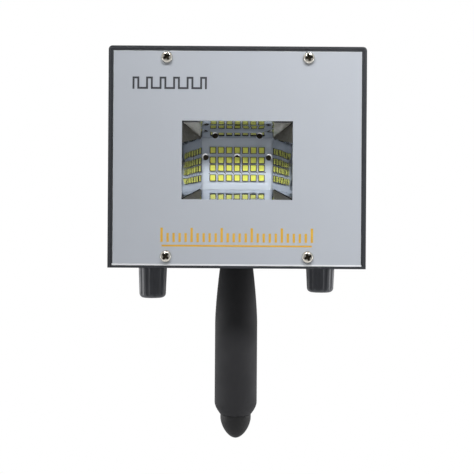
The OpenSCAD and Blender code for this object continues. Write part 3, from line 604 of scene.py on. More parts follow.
def bar(bm: Mesh, low: Point, high: Point, ease: float = 0.0) -> None:
    """Make a box, with a small chamfer round its front and its back face.

    Args:
        bm: Mesh that gets the box.
        low: Lowest corner.
        high: Highest corner.
        ease: Width of the chamfer, or 0 for none.
    """
    front, back = low[1], high[1]
    profile = [(0.0, front), (0.0, back)]
    if ease:
        profile = [(ease, front), (0.0, front + ease), (0.0, back - ease), (ease, back)]
    plate(bm, [(rectangle(low, high), profile, ())])


def carve(blank: Mesh, tool: Mesh) -> Mesh:
    """Cut one closed mesh out of another.

    Args:
        blank: Mesh that is cut, which is used up.
        tool: Mesh that cuts, which is used up, and whose material numbers stay on the cut.

    Returns:
        The cut mesh.
    """
    objects = []
    for name, bm in (("blank", blank), ("tool", tool)):
        bmesh.ops.recalc_face_normals(bm, faces=bm.faces)
        mesh = bpy.data.meshes.new(name)
        bm.to_mesh(mesh)
        bm.free()
        # Empty slots keep both material numbers through the cut
        for _ in range(2):
            mesh.materials.append(None)
        made = bpy.data.objects.new(name, mesh)
        bpy.context.scene.collection.objects.link(made)
        objects.append(made)
    recess = objects[0].modifiers.new("recess", "BOOLEAN")
    recess.operation = "DIFFERENCE"
    recess.solver = "EXACT"
    recess.object = objects[1]
    graph = bpy.context.evaluated_depsgraph_get()
    mesh = bpy.data.meshes.new_from_object(objects[0].evaluated_get(graph))
    cut = bmesh.new()
    cut.from_mesh(mesh)
    for data in (mesh, objects[0].data, objects[1].data):
        bpy.data.meshes.remove(data)
    return cut


def piece(
    name: str,
    bm: Mesh,
    finishes: Sequence[Finish],
    body: Body,
    nodes: Sequence[str] = (),
    sharp: float = 32.0,
) -> None:
    """Make a piece of the object from a mesh in millimetres.

    Args:
        name: Name of the piece.
        bm: Mesh in millimetres, which is used up.
        finishes: Finish of each material number.
        body: Body that the piece rides on.
        nodes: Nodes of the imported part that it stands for.
        sharp: Angle in degrees from which an edge is kept sharp.
    """
    bmesh.ops.dissolve_degenerate(bm, dist=NO_LENGTH, edges=bm.edges)
    bmesh.ops.recalc_face_normals(bm, faces=bm.faces)
    bm.transform(Matrix.Scale(MM, 4))
    for face in bm.faces:
        face.smooth = True
    for edge in bm.edges:
        if len(edge.link_faces) == 2:
            edge.smooth = edge.calc_face_angle() < math.radians(sharp)
    mesh = bpy.data.meshes.new(name)
    bm.to_mesh(mesh)
    bm.free()
    for finish in finishes:
        mesh.materials.append(finish.material())
    made = bpy.data.objects.new(name, mesh)
    bpy.context.scene.collection.objects.link(made)
    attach(made, body.value)
    if nodes:
        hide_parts(*nodes)
    LOG.info("%s: %d faces on %s", name, len(mesh.polygons), body.value)


def dress(finish: Finish, *nodes: str) -> None:
    """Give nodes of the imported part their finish.

    Args:
        finish: Finish of all their faces.
        nodes: Names of the nodes.
    """
    for node in nodes:
        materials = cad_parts[node].data.materials
        if materials:
            materials[0] = finish.material()
        else:
            materials.append(finish.material())
        LOG.info("%s: dressed as %s", node, finish.name)


@dataclass
class CaseShell:
    """Folded cover, chassis, rear panel and the rails inside.

    Attributes:
        nodes: Nodes that were coated.
    """

    nodes: Sequence[str] = ("case_cover", "chassis", "rear_panel", "front_rails", "rear_rails")

    def build(self) -> None:
        """Dress the sheet parts of the case."""
        dress(CASE_COAT, *self.nodes)


@dataclass
class FrontPanel:
    """Lacquered panel with its lamp window, the strips round it and its printed marks.

    Attributes:
        chamfer: Width of the chamfer round the panel, coloured white as painted highlight.
        window_half: Half of the width and of the height of the window.
        window_break: Width to which the window's edge is broken.
        screw_hole: Radius of the screw holes.
        print_lift: Thickness of the printed ink and of the strip at the foot.
        trim_foot: Height of the white strip of painted highlight at the foot of the panel.
        trim_drop: Distance by which that strip reaches below the panel.
        seal_gap: Width of the seal in the gap at the sides and the top.
        seal_lap: Width by which the seal laps over the panel's chamfer.
        seal_back: Distance of the seal behind the panel's face.
        seal_ease: Width of the chamfer along the seal.
        seal_slit: Gap where the bars of the seal meet.
        pulses: Number of pulses in the printed line.
        pulse_start: X and Z of the line's lower left end.
        pulse_height: Height of a pulse.
        pulse_pitch: Distance from one pulse to the next.
        pulse_stroke: Width of the line.
        bar_span: X of the first and of the last gold bar.
        bar_pitch: Distance from one bar to the next.
        bar_width: Width of a bar.
        bar_heights: Height of a plain bar and of a tall one.
        bar_group: Number of bars from one tall bar to the next.
        bar_foot: Height of the feet of the bars.
        rule_ends: Heights of the lower and the upper edge of the rule below them.
    """

    chamfer: float = 0.6
    window_half: Pair = (36.9, 26.2)
    window_break: float = 0.12
    screw_hole: float = 2.2
    print_lift: float = 0.03
    trim_foot: float = 1.1
    trim_drop: float = 0.5
    seal_gap: float = 0.85
    seal_lap: float = 0.5
    seal_back: float = 0.1
    seal_ease: float = 0.15
    seal_slit: float = 0.01
    pulses: int = 6
    pulse_start: Pair = (-70.0, 173.4)
    pulse_height: float = 8.2
    pulse_pitch: float = 9.0
    pulse_stroke: float = 1.3
    bar_span: Pair = (-50.0, 50.0)
    bar_pitch: float = 4.0
    bar_width: float = 1.6
    bar_heights: Pair = (6.0, 9.5)
    bar_group: int = 5
    bar_foot: float = 71.6
    rule_ends: Pair = (68.6, 69.8)

    def build(self) -> None:
        """Make the panel, the strips round it and its printed marks."""
        low, high = (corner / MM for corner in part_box("front_panel"))
        front, back = low.y, high.y
        # The chamfer round the panel takes the white of the painted highlight
        trimmed = [(self.chamfer, front), (0.0, front + self.chamfer), (0.0, back)]
        broken = [(-self.window_break, front), (0.0, front + self.window_break), (0.0, back)]
        edges = [
            (rectangle(low, high), trimmed, (2, 0)),
            (Outline((WINDOW_X, WINDOW_Z), self.window_half), broken, (0, 1)),
        ]
        for x in (-PANEL_SCREW_X, PANEL_SCREW_X):
            for z in PANEL_SCREW_Z:
                edges.append((circle(x, z, self.screw_hole), [(0.0, front), (0.0, back)], (1,)))
        bm = bmesh.new()
        plate(bm, edges)
        finishes = (PANEL_LACQUER, MILLED_EDGE, HIGHLIGHT_LINE)
        piece("front_panel_sheet", bm, finishes, Body.CASE, ("front_panel",))
        self.trim_edges(low, high)
        self.print_pulses(front)
        self.print_bars(front)

    def trim_edges(self, low: Vector, high: Vector) -> None:
        """Lay a white strip of painted highlight along the foot and seal the gap at the sides and
        the top.

        Args:
            low: Lowest corner of the panel.
            high: Highest corner of the panel.
        """
        # The white strip at the foot is a painted highlight along the panel's lower edge
        strip = bmesh.new()
        foot = low.z - self.trim_drop
        corner = (high.x, low.y, foot + self.trim_foot)
        bar(strip, (low.x, low.y - self.print_lift, foot), corner)
        piece("panel_highlight_line", strip, (HIGHLIGHT_LINE,), Body.CASE)
        seal = bmesh.new()
        gap, lap, front, top = self.seal_gap, self.seal_lap, low.y + self.seal_back, high.z
        for left, right in ((low.x - gap, low.x + lap), (high.x - lap, high.x + gap)):
            bar(seal, (left, front, low.z), (right, high.y, top + gap), self.seal_ease)
        # The bar at the top ends a hair before the side bars
        left, right = low.x + lap + self.seal_slit, high.x - lap - self.seal_slit
        bar(seal, (left, front, top - lap), (right, high.y, top + gap), self.seal_ease)
        piece("panel_gap_seal", seal, (SEAL_RUBBER,), Body.CASE)

    def print_pulses(self, front: float) -> None:
        """Print a plain pulse line above the window.

        Args:
            front: Y of the panel's face.
        """
        left, foot = self.pulse_start
        stroke, half, head = self.pulse_stroke, self.pulse_pitch / 2, foot + self.pulse_height
        above, below = [(left, foot)], []
        for i in range(self.pulses):
            x = left + i * self.pulse_pitch
            far = x + half
            above += [(x, head), (far, head), (far, foot + stroke), (far + half, foot + stroke)]
            below += [(x + stroke, foot), (x + stroke, head - stroke)]
            below += [(far - stroke, head - stroke), (far - stroke, foot)]
        # The last pulse ends at its foot
        above[-2:] = [(far, foot)]
        line = [*above, *reversed(below)]
        bm = bmesh.new()
        faces = (front - self.print_lift, front)
        for row in skin(bm, [[(x, y, z) for x, z in line] for y in faces]):
            fill(bm, [row])
        piece("pulse_line_print", bm, (DARK_INK,), Body.CASE)

    def print_bars(self, front: float) -> None:
        """Print a plain row of gold bars over a gold rule below the window.

        Args:
            front: Y of the panel's face.
        """
        bm = bmesh.new()
        (left, right), (low, high), (plain, tall) = self.bar_span, self.rule_ends, self.bar_heights
        face, half, foot = front - self.print_lift, self.bar_width / 2, self.bar_foot
        bar(bm, (left, face, low), (right, front, high))
        for i in range(int((right - left) / self.bar_pitch) + 1):
            x = left + i * self.bar_pitch
            head = foot + (plain if i % self.bar_group else tall)
            bar(bm, (x - half, face, foot), (x + half, front, head))
        piece("gold_bar_print", bm, (GOLD_INK,), Body.CASE)


@dataclass
class ScrewSet:
    """Cross-recess pan head screws that stand for one node.

    Attributes:
        node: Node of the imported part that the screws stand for.
        diameter: Thread diameter.
        length: Length below the head.
        places: Middle of each seat, direction of the head and turn of the cross.
        pitch: Thread pitch.
        thread: Depth of the thread, as a share of the pitch.
        tip: Plain length at the tip, as a share of the pitch.
        neck: Plain length below the head.
        head: Radius and height of each line of the head, as shares of the diameter.
        cross: Half length and half width of the cross's arms and height of each of its
            levels, as shares of the diameter.
        fillet: Place of the corners between the arms, as a share of their half width.
        steps: Steps round a screw.
    """

    node: str
    diameter: float
    length: float
    places: Sequence[tuple[Point, Point, float]]
    pitch: float = 0.7
    thread: float = 0.6
    tip: float = 0.4
    neck: float = 0.3
    head: Sequence[Pair] = (
        (0.97, 0.0), (1.0, 0.04), (0.985, 0.18), (0.95, 0.3), (0.89, 0.41), (0.82, 0.5),
        (0.74, 0.57), (0.64, 0.615), (0.4, 0.65), (0.2, 0.66), (0.0, 0.665),
    )
    cross: Sequence[Point] = ((0.66, 0.2, 0.8), (0.64, 0.19, 0.66), (0.4, 0.12, 0.18))
    fillet: float = 1.3
    steps: int = 40

    def profile(self) -> list[Pair]:
        """Give the section of a screw.

        Returns:
            Radius and height above the seat of each point, from the tip to the crown.
        """
        outer, root = self.diameter / 2, self.diameter / 2 - self.thread * self.pitch
        points = [(0.0, -self.length), (root, -self.length)]
        for i in range(int(self.length / self.pitch) - 1):
            z = -self.length + (self.tip + i) * self.pitch
            points += [(root, z), (outer, z + self.pitch / 2)]
        points += [(root, -self.neck), (outer, 0.0)]
        return points + [(self.diameter * across, self.diameter * up) for across, up in self.head]

    def cutter(self) -> Mesh:
        """Make the tapered cross that cuts the recess.

        Returns:
            Mesh of the cross, with the recess's material number.
        """
        bm = bmesh.new()
        rings = []
        for level in self.cross:
            arm, half, z = (self.diameter * share for share in level)
            corner = self.fillet * half
            ring = []
            for k in range(4):
                turn = Matrix.Rotation(math.radians(90 * k), 3, "Z")
                for x, y in ((arm, -half), (arm, half), (corner, corner)):
                    ring.append(tuple(turn @ Vector((x, y, z))))
            rings.append(ring)
        rows = skin(bm, rings, (1, 1))
        bm.faces.new(rows[0])
        bm.faces.new(rows[-1]).material_index = 1
        return bm

    def build(self) -> None:
        """Make the screws as one piece."""
        blank = bmesh.new()
        revolve(blank, self.profile(), self.steps)
        model = bpy.data.meshes.new("screw_model")
        cut = carve(blank, self.cutter())
        cut.to_mesh(model)
        cut.free()
        bm = bmesh.new()
        for seat, toward, turn in self.places:
            way = Vector(toward).to_track_quat("Z", "Y").to_matrix().to_4x4()
            where = Matrix.Translation(seat) @ way @ Matrix.Rotation(math.radians(turn), 4, "Z")
            placed = model.copy()
            placed.transform(where)
            bm.from_mesh(placed)
            bpy.data.meshes.remove(placed)
        bpy.data.meshes.remove(model)
        # The cut walls of the cross recess get the dark metal of painted shade
        piece(f"{self.node}_cut", bm, (NICKEL, RECESS_SHADE), Body.CASE, (self.node,), sharp=28.0)


@dataclass
class LampHead:
    """Mirror funnel, lamp board, lamps and the heat sink behind them.

    Attributes:
        mouth: Half of the width and height of the funnel's mouth.
        throat: Half of the width and height of the funnel's throat.
        throat_drop: Amount by which the lower wall starts further down than the upper one up.
        mouth_y: Y of the mouth.
        throat_y: Y of the throat.
        board_y: Y of the face of the lamp board.
        sheet: Thickness of the mirror sheet.
        fold: Distance by which the back of a fold sits out, as a share of the sheet.
        lip: Width of the lip behind the panel.
        seam: Gap between two walls at a corner of the funnel.
        strip: Distance outward, half width and thickness of the strips that back the seams.
        strip_ends: Distances behind the throat and the mouth at which those strips end.
        gusset_gap: Distance of a gusset from the corner at the mouth.
        gusset_reach: Distance by which the side gussets reach below the throat's corner.
        gusset_ends: Shares of the way from throat to mouth at which the inner edge and the
            outer edge of a gusset start, and at which both end.
        gusset_faces: Distances of the back and the front of a gusset from its wall.
        lamp_half: Half of the width and height of a lamp package.
        lamp_corner: Radius of the corners of a package.
        lamp_ease: Width of the chamfer round its front.
        lamp_height: Height of a package above the board.
        face_half: Half of the width and height of its light-giving face.
        face_dish: Inset and depth of each line of that face.
        columns: X of each column of lamps.
        rows: Height of each row of lamps above the middle.
        holes: X and height above the middle of each open hole in the board.
        hole_radius: Radius of the open holes.
        hole_floor: Depth of the floor of an open hole, dark with painted shade.
        eyelet_radius: Radius of the eyelets in the open holes.
        eyelet_height: Height to which their flared rims stand above the board.
        eyelet_shift: Amount by which the flared rims sit aside of and above their holes.
        eyelet_wall: Thickness of their sleeves.
        eyelet_depth: Depth of their sleeves.
        waist_radius: Radius of an eyelet where its flare turns over.
        waist_height: Height of that line, as a share of the rim's.
        access_radius: Radius of the holes in the funnel before the upper open holes.
        access_drop: Amount by which those holes sit below the open holes.
        via_radius: Radius of the plated holes between the lower rows of lamps.
        via_place: X and height of such a hole beside a column, with another one opposite.
        via_lift: Thickness of their plating.
    """

    mouth: Pair = (38.1, 26.6)
    throat: Pair = (24.7, 17.6)
    throat_drop: float = 0.55
    mouth_y: float = -50.5
    throat_y: float = -30.7
    board_y: float = -28.5
    sheet: float = 0.8
    fold: float = 0.4
    lip: float = 4.0
    seam: float = 0.6
    strip: Point = (0.35, 0.9, 0.25)
    strip_ends: Pair = (0.1, 0.9)
    gusset_gap: float = 0.8
    gusset_reach: float = 6.0
    gusset_ends: Point = (0.04, 0.1, 0.92)
    gusset_faces: Pair = (0.03, 0.33)
    lamp_half: Pair = (2.25, 2.33)
    lamp_corner: float = 0.25
    lamp_ease: float = 0.1
    lamp_height: float = 0.8
    face_half: Pair = (1.72, 1.95)
    face_dish: Sequence[Pair] = ((0.0, 0.0), (0.08, 0.06), (0.6, 0.1))
    columns: Sequence[float] = tuple(5.65 * (i - 3) for i in range(7))
    rows: Sequence[float] = (9.3, 2.4, -3.0, -9.9)
    holes: Sequence[Pair] = ((-22.0, 4.4), (0.0, 4.4), (22.0, 4.4), (-15.4, 19.6), (15.4, 19.6))
    hole_radius: float = 1.8
    hole_floor: float = 1.4
    eyelet_radius: float = 2.4
    eyelet_height: float = 0.44
    eyelet_shift: Pair = (0.18, 0.3)
    eyelet_wall: float = 0.06
    eyelet_depth: float = 1.5
    waist_radius: float = 2.06
    waist_height: float = 0.65
    access_radius: float = 2.45
    access_drop: float = 1.2
    via_radius: float = 0.38
    via_place: Pair = (2.5, 0.45)
    via_lift: float = 0.04

    def build(self) -> None:
        """Make the funnel, the lamps and the eyelets, and dress what carries them."""
        dress(WHITE_RESIST, "lamp_board")
        dress(SINK, "heat_sink")
        dress(ZINC, "lamp_board_screws", "lamp_bracket", "bracket_screws", "bracket_nuts")
        self.build_funnel()
        self.build_gussets()
        self.build_lamps()
        self.build_eyelets()

    def build_funnel(self) -> None:
        """Make the four folded walls of the funnel, each with its lip."""
        bm = bmesh.new()
        for quarter, drop in enumerate((0.0, 0.0, self.throat_drop, 0.0)):
            # A wall is drawn as the upper one and turned about the middle of the window
            turn = Matrix.Rotation(math.radians(90 * quarter), 4, "Y")
            end = quarter % 2
            throat, mouth = self.throat[1 - end] + drop, self.mouth[1 - end]
            near, far = self.throat[end] - self.seam, self.mouth[end] - self.seam
            folds = [
                (throat, self.throat_y, near),
                (mouth, self.mouth_y, far),
                (mouth + self.lip, self.mouth_y, far),
            ]
            self.add_wall(bm, Matrix.Translation((WINDOW_X, 0.0, WINDOW_Z)) @ turn, folds)
        self.add_strips(bm)
        drill = bmesh.new()
        for x, rise in self.holes:
            if rise > self.throat[1]:
                outline = circle(x, WINDOW_Z + rise - self.access_drop, self.access_radius)
                plate(drill, [(outline, [(0.0, self.mouth_y), (0.0, self.board_y)], ())])
        funnel = carve(bm, drill)
        piece("mirror_funnel", funnel, (MIRROR, EDGE_SHADE), Body.CASE, ("reflector",))

    def add_wall(self, bm: Mesh, where: Matrix, folds: Sequence[Point]) -> None:
        """Add one wall of the funnel with its lip.

        Args:
            bm: Mesh that gets the wall.
            where: Matrix that turns the upper wall to its side.
            folds: Distance from the axis, Y and half length of each fold line.
        """
        # Distance out and distance behind for the back of each fold line
        backs = ((self.sheet, 0.0), (self.fold * self.sheet, self.sheet), (0.0, self.sheet))
        back = [
            (away + out, y + behind, half)
            for (away, y, half), (out, behind) in zip(folds, backs)
        ]
        loop = [*folds, *reversed(back)]
        rings = [
            [tuple(where @ Vector((end * half, y, away))) for away, y, half in loop]
            for end in (-1, 1)
        ]
        # The cut edges of the sheet take the dark metal of painted shade
        for row in skin(bm, rings):
            for corners in ((0, 1, 4, 5), (1, 2, 3, 4)):
                bm.faces.new([row[i] for i in corners]).material_index = 1

    def add_strips(self, bm: Mesh) -> None:
        """Add the strips that back the seams at the corners of the funnel, dark with painted shade.

        Args:
            bm: Mesh that gets the strips.
        """
        out, half, thick = self.strip
        section = ((out, -half), (out, half), (out + thick, half), (out + thick, -half))
        (tx, tz), (mx, mz), (behind_throat, behind_mouth) = self.throat, self.mouth, self.strip_ends
        for sx, sz in CORNERS:
            low = tz + (self.throat_drop if sz < 0 else 0.0)
            ends = ((tx, self.throat_y + behind_throat, low), (mx, self.mouth_y + behind_mouth, mz))
            rings = [
                [
                    (WINDOW_X + sx * (x + away + along), y, WINDOW_Z + sz * (z + away - along))
                    for away, along in section
                ]
                for x, y, z in ends
            ]
            for row in skin(bm, rings, (1,)):
                bm.faces.new(row).material_index = 1

    def build_gussets(self) -> None:
        """Make the folded gussets of plain sheet in the corners of the funnel."""
        bm = bmesh.new()
        (tx, tz), (mx, mz), gap = self.throat, self.mouth, self.gusset_gap
        run, low = self.mouth_y - self.throat_y, tz + self.throat_drop
        inner_start, outer_start, end = self.gusset_ends
        # Way up, corner at the throat, outer and inner corner at the mouth, and the way that
        # a gusset stands off its wall
        leaves = (
            (1, (tx, tz), (mx - gap, mz), (tx, mz), (0.0, tz - mz, run)),
            (1, (tx, tz), (mx, mz - gap), (mx, tz - self.gusset_reach), (run, tx - mx, 0.0)),
            (-1, (tx, low), (mx - gap, mz), (tx, mz), (0.0, low - mz, run)),
        )
        for sz, throat, outside, inside, way in leaves:
            root = Vector((throat[0], self.throat_y, throat[1]))
            outer, inner = (Vector((x, self.mouth_y, z)) for x, z in (outside, inside))
            ends = ((inner, inner_start), (outer, outer_start), (outer, end), (inner, end))
            off = Vector(way).normalized()
            sheet = [
                [root.lerp(corner, share) + proud * off for corner, share in ends]
                for proud in self.gusset_faces
            ]
            for sx in (1, -1):
                rings = [
                    [(WINDOW_X + sx * p.x, p.y, WINDOW_Z + sz * p.z) for p in ring]
                    for ring in sheet
                ]
                for row in skin(bm, rings):
                    bm.faces.new(row)
        piece("funnel_gussets", bm, (MILL_SHEET,), Body.CASE)

    def build_lamps(self) -> None:
        """Make the lamp packages, each a rim in the dark colour of painted shade round a cast
        phosphor face.
        """
        bm = bmesh.new()
        front, ease = self.board_y - self.lamp_height, self.lamp_ease
        corner_steps = 3
        for x in self.columns:
            for rise in self.rows:
                outer, inner = (
                    Outline((x, WINDOW_Z + rise), half, self.lamp_corner, corner_steps)
                    for half in (self.lamp_half, self.face_half)
                )
                sides = ((0.0, self.board_y), (0.0, front + ease), (ease, front))
                rings = [outer.ring(inset, y) for inset, y in sides]
                rings += [inner.ring(inset, front + depth) for inset, depth in self.face_dish]
                rows = skin(bm, rings, (0, 0, 0, 1, 1))
                bm.faces.new(rows[-1]).material_index = 1
                bm.faces.new(rows[0])
        piece("lamp_packages", bm, (LAMP_RIM, PHOSPHOR), Body.CASE, ("lamp_leds",))

    def build_eyelets(self) -> None:
        """Make the flared eyelets of the open holes and the small plated holes."""
        bm = bmesh.new()
        wall, rim = self.eyelet_wall, -self.eyelet_height
        for x, rise in self.holes:
            z, (aside, up) = WINDOW_Z + rise, self.eyelet_shift
            aside = math.copysign(aside, x) if x else 0.0
            bore = circle(x, z, self.hole_radius)
            waist = circle(x + aside / 2, z + up / 2, self.waist_radius)
            flare = circle(x + aside, z + up, self.eyelet_radius)
            # Inset and place behind the board's face of each line, from the floor, which is dark
            # with painted shade, over the rolled rim and down the outside to the end of the sleeve
            lines = (
                (bore, wall, self.hole_floor), (bore, wall, 0.0),
                (waist, 0.0, self.waist_height * rim), (flare, 0.05, rim), (flare, 0.0, rim + 0.04),
                (flare, 0.1, 0.0), (bore, -0.02, 0.0), (bore, 0.0, self.eyelet_depth),
            )
            rings = [outline.ring(inset, self.board_y + y) for outline, inset, y in lines]
            rows = skin(bm, rings, (1, 0, 0, 0, 0, 0, 0))
            bm.faces.new(rows[0]).material_index = 1
            bm.faces.new(rows[-1])
        # The small plated holes are flat discs in the dark metal of painted shade
        between = WINDOW_Z + (self.rows[2] + self.rows[3]) / 2
        profile = [(0.0, self.board_y - self.via_lift), (0.0, self.board_y)]
        aside, up = self.via_place
        for x in self.columns:
            for way in (1, -1):
                via = circle(x + way * aside, between + way * up, self.via_radius, steps=3)
                plate(bm, [(via, profile, (1,))], 1)
        piece("board_eyelets", bm, (TINNED, RECESS_SHADE), Body.CASE)


@dataclass
class ControlKnob:
    """Fluted control knob with an inlaid pointer on its end.

    Attributes:
        node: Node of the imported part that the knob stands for.
        body: Body that the knob rides on.
        x: X of the knob's axis.
        length: Length of the knob.
        top: Height of its upper rim.
        rim_radius: Radius at the case.
        rim_ease: Width to which the rim is eased.
        end_radius: Radius at the far end.
        edge: Radius of its rounded end.
        land: Width of the flat ring round the dish in its end.
        dish: Width and depth of that dish's slope.
        cavity_radius: Radius of the hollow for the nut.
        cavity_depth: Depth of that hollow.
        flutes: Number of flutes.
        flute_radius: Radius of a flute.
        flute_depth: Depth of a flute.
        blend: Width over which a flute runs into the crest.
        steps: Points round each flute.
        side_steps: Rings along the side.
        edge_steps: Rings along the rounded end.
        mark_half: Half of the width of the pointer.
        mark_ends: Distances of the pointer from the dish's rim and from the axis.
        mark_faces: Heights of the pointer's faces above the end.
    """

    node: str
    body: Body
    x: float
    length: float
    top: float = 53.45
    rim_radius: float = 10.4
    rim_ease: float = 0.5
    end_radius: float = 9.7
    edge: float = 3.4
    land: float = 0.6
    dish: Pair = (0.4, 0.3)
    cavity_radius: float = 7.5
    cavity_depth: float = 4.6
    flutes: int = 12
    flute_radius: float = 3.0
    flute_depth: float = 0.55
    blend: float = 0.12
    steps: int = 20
    side_steps: int = 8
    edge_steps: int = 12
    mark_half: float = 0.6
    mark_ends: Pair = (0.5, 1.2)
    mark_faces: Pair = (-0.02, 0.35)

    def outside(self) -> list[Point]:
        """Give the lines of the knob's outside before its flutes are cut.

        Returns:
            Radius, depth below the rim and radius of the flute crests of each line.
        """
        rim, end, edge, ease = self.rim_radius, self.end_radius, self.edge, self.rim_ease
        lines = [(rim - ease, 0.0), (rim - EASE_SHARE * ease, EASE_SHARE * ease), (rim, ease)]
        straight = self.length - edge
        for i in range(1, self.side_steps + 1):
            share = i / self.side_steps
            lines.append((rim + (end - rim) * share, ease + (straight - ease) * share))
        for i in range(1, self.edge_steps + 1):
            angle = math.radians(90 * i / self.edge_steps)
            lines.append((end - edge + edge * math.cos(angle), straight + edge * math.sin(angle)))
        slope = (end - rim) / self.length
        return [(radius, depth, rim + slope * depth) for radius, depth in lines]

    def fluted(self, radius: float, crest: float, angle: float) -> float:
        """Give the radius at an angle once the flutes are cut.

        Args:
            radius: Radius of the plain profile.
            crest: Radius that the flutes are cut into at that height.
            angle: Angle round the axis.

        Returns:
            The smaller of the plain radius and the flute's, blended at the crest.
        """
        step = math.tau / self.flutes
        off = angle % step - step / 2
        middle = crest + self.flute_radius - self.flute_depth
        across = self.flute_radius**2 - (middle * math.sin(off)) ** 2
        if across <= 0:
            return radius
        cut = middle * math.cos(off) - math.sqrt(across)
        share = max(0.0, min(1.0, 0.5 + 0.5 * (cut - radius) / self.blend))
        return cut * (1 - share) + radius * share - self.blend * share * (1 - share)

    def ring(self, radius: float, depth: float, crest: float | None = None) -> list[Point]:
        """Give a ring of points round the knob's axis.

        Args:
            radius: Radius of the ring.
            depth: Depth below the rim.
            crest: Radius that the flutes are cut into, or None for a round ring.

        Returns:
            Points in order.
        """
        points = []
        count = self.flutes * self.steps
        for i in range(count):
            angle = math.tau * i / count
            reach = radius if crest is None else self.fluted(radius, crest, angle)
            x, y = self.x + reach * math.cos(angle), reach * math.sin(angle)
            points.append((x, y, self.top - depth))
        return points

    def build(self) -> None:
        """Make the knob and its pointer."""
        bm = bmesh.new()
        dish, (slope, deep) = self.end_radius - self.edge - self.land, self.dish
        hollow = [self.ring(self.cavity_radius, depth) for depth in (self.cavity_depth, 0.0)]
        side = [self.ring(*line) for line in self.outside()]
        end = [self.ring(dish, self.length), self.ring(dish - slope, self.length - deep)]
        rows = skin(bm, [*hollow, *side, *end])
        bm.faces.new(rows[0])
        bm.faces.new(rows[-1])
        name = f"{self.node}_fluted"
        piece(name, bm, (KNOB_ABS,), self.body, (self.node,), sharp=40.0)
        mark = bmesh.new()
        (rim_gap, axis_gap), foot = self.mark_ends, self.top - self.length
        low, high = (foot + lift for lift in self.mark_faces)
        left, right = self.x - self.mark_half, self.x + self.mark_half
        bar(mark, (left, -dish + rim_gap, low), (right, -axis_gap, high))
        piece(f"{self.node}_pointer", mark, (WHITE_INK,), self.body)


@dataclass
class Handle:
    """Rubber grip sleeve on a nylon core with a domed end.

    Attributes:
        top: Height of the upper end of the sleeve.
        length: Length of the sleeve.
        neck: Radius at the case.
        neck_ease: Width to which the upper rim is eased.
        grip: Largest radius.
        swell: Length over which the sleeve swells.
        swell_bend: Power of the curve by which it swells.
        shoulder: Length of the rounded lower end.
        shoulder_in: Amount by which the lower end draws in.
        shoulder_bend: Power of the curve by which it draws in.
        core: Radius of the core.
        play: Gap between the core and the sleeve.
        bore: Radius of the bore for the stud.
        bore_depth: Depth of that bore.
        pommel: Radius of the domed end.
        pommel_length: Length of the domed end.
        pommel_straight: Length of its straight part.
        pommel_ease: Width to which its upper rim is eased.
        dome_bends: Powers of the curve of the dome, inside and outside the root.
        steps: Steps round the handle.
        lines: Numbers of lines along the swell, the shoulder and the dome.
    """

    top: float = 54.25
    length: float = 108.5
    neck: float = 12.0
    neck_ease: float = 0.5
    grip: float = 15.5
    swell: float = 42.0
    swell_bend: float = 1.5
    shoulder: float = 8.5
    shoulder_in: float = 4.0
    shoulder_bend: float = 1.7
    core: float = 8.5
    play: float = 0.05
    bore: float = 5.05
    bore_depth: float = 40.5
    pommel: float = 11.2
    pommel_length: float = 18.0
    pommel_straight: float = 3.0
    pommel_ease: float = 0.3
    dome_bends: Pair = (1.6, 0.55)
    steps: int = 96
    lines: tuple[int, int, int] = (40, 24, 36)

    def build(self) -> None:
        """Make the sleeve and the core, and dress the stud, washer and nut."""
        dress(ZINC, "handle_stud", "handle_washer", "handle_nut")
        for name, profile, finish, node in (
            ("grip_sleeve_moulded", self.sleeve_profile(), GRIP_RUBBER, "grip_sleeve"),
            ("handle_core_moulded", self.core_profile(), HANDLE_NYLON, "handle_core"),
        ):
            bm = bmesh.new()
            revolve(bm, [(radius, self.top + z) for radius, z in profile], self.steps)
            piece(name, bm, (finish,), Body.CASE, (node,))

    def sleeve_profile(self) -> list[Pair]:
        """Give the section of the sleeve as a closed line from bore to bore.

        Returns:
            Radius and height above the upper end of each point.
        """
        bore, grip, neck, ease = self.core + self.play, self.grip, self.neck, self.neck_ease
        swell_lines, shoulder_lines, _ = self.lines
        profile = [(bore, 0.0), (neck - ease, 0.0)]
        profile.append((neck - EASE_SHARE * ease, -EASE_SHARE * ease))
        for i in range(1, swell_lines + 1):
            share = i / swell_lines
            radius = grip - (grip - neck) * (1 - share) ** self.swell_bend
            profile.append((radius, -self.swell * share))
        for i in range(shoulder_lines + 1):
            share = i / shoulder_lines
            radius = grip - self.shoulder_in * share**self.shoulder_bend
            profile.append((radius, -self.length + self.shoulder * (1 - share)))
        return [*profile, (bore, -self.length), (bore, 0.0)]

    def core_profile(self) -> list[Pair]:
        """Give the section of the core from the bore's floor to the tip.

        Returns:
            Radius and height above the upper end of each point.
        """
        foot, floor, ease = -self.length, -self.bore_depth, self.pommel_ease
        dome = self.pommel_length - self.pommel_straight
        inside, outside = self.dome_bends
        profile = [
            (0.0, floor), (self.bore, floor), (self.bore, 0.0), (self.core, 0.0),
            (self.core, foot), (self.pommel - ease, foot), (self.pommel, foot - ease),
        ]
        for i in range(self.lines[2]):
            # Finer steps towards the tip, where the dome turns fastest
            share = 1 - (1 - i / self.lines[2]) ** inside
            radius = self.pommel * (1 - share**inside) ** outside
            profile.append((radius, foot - self.pommel_straight - dome * share))
        return [*profile, (0.0, foot - self.pommel_length)]


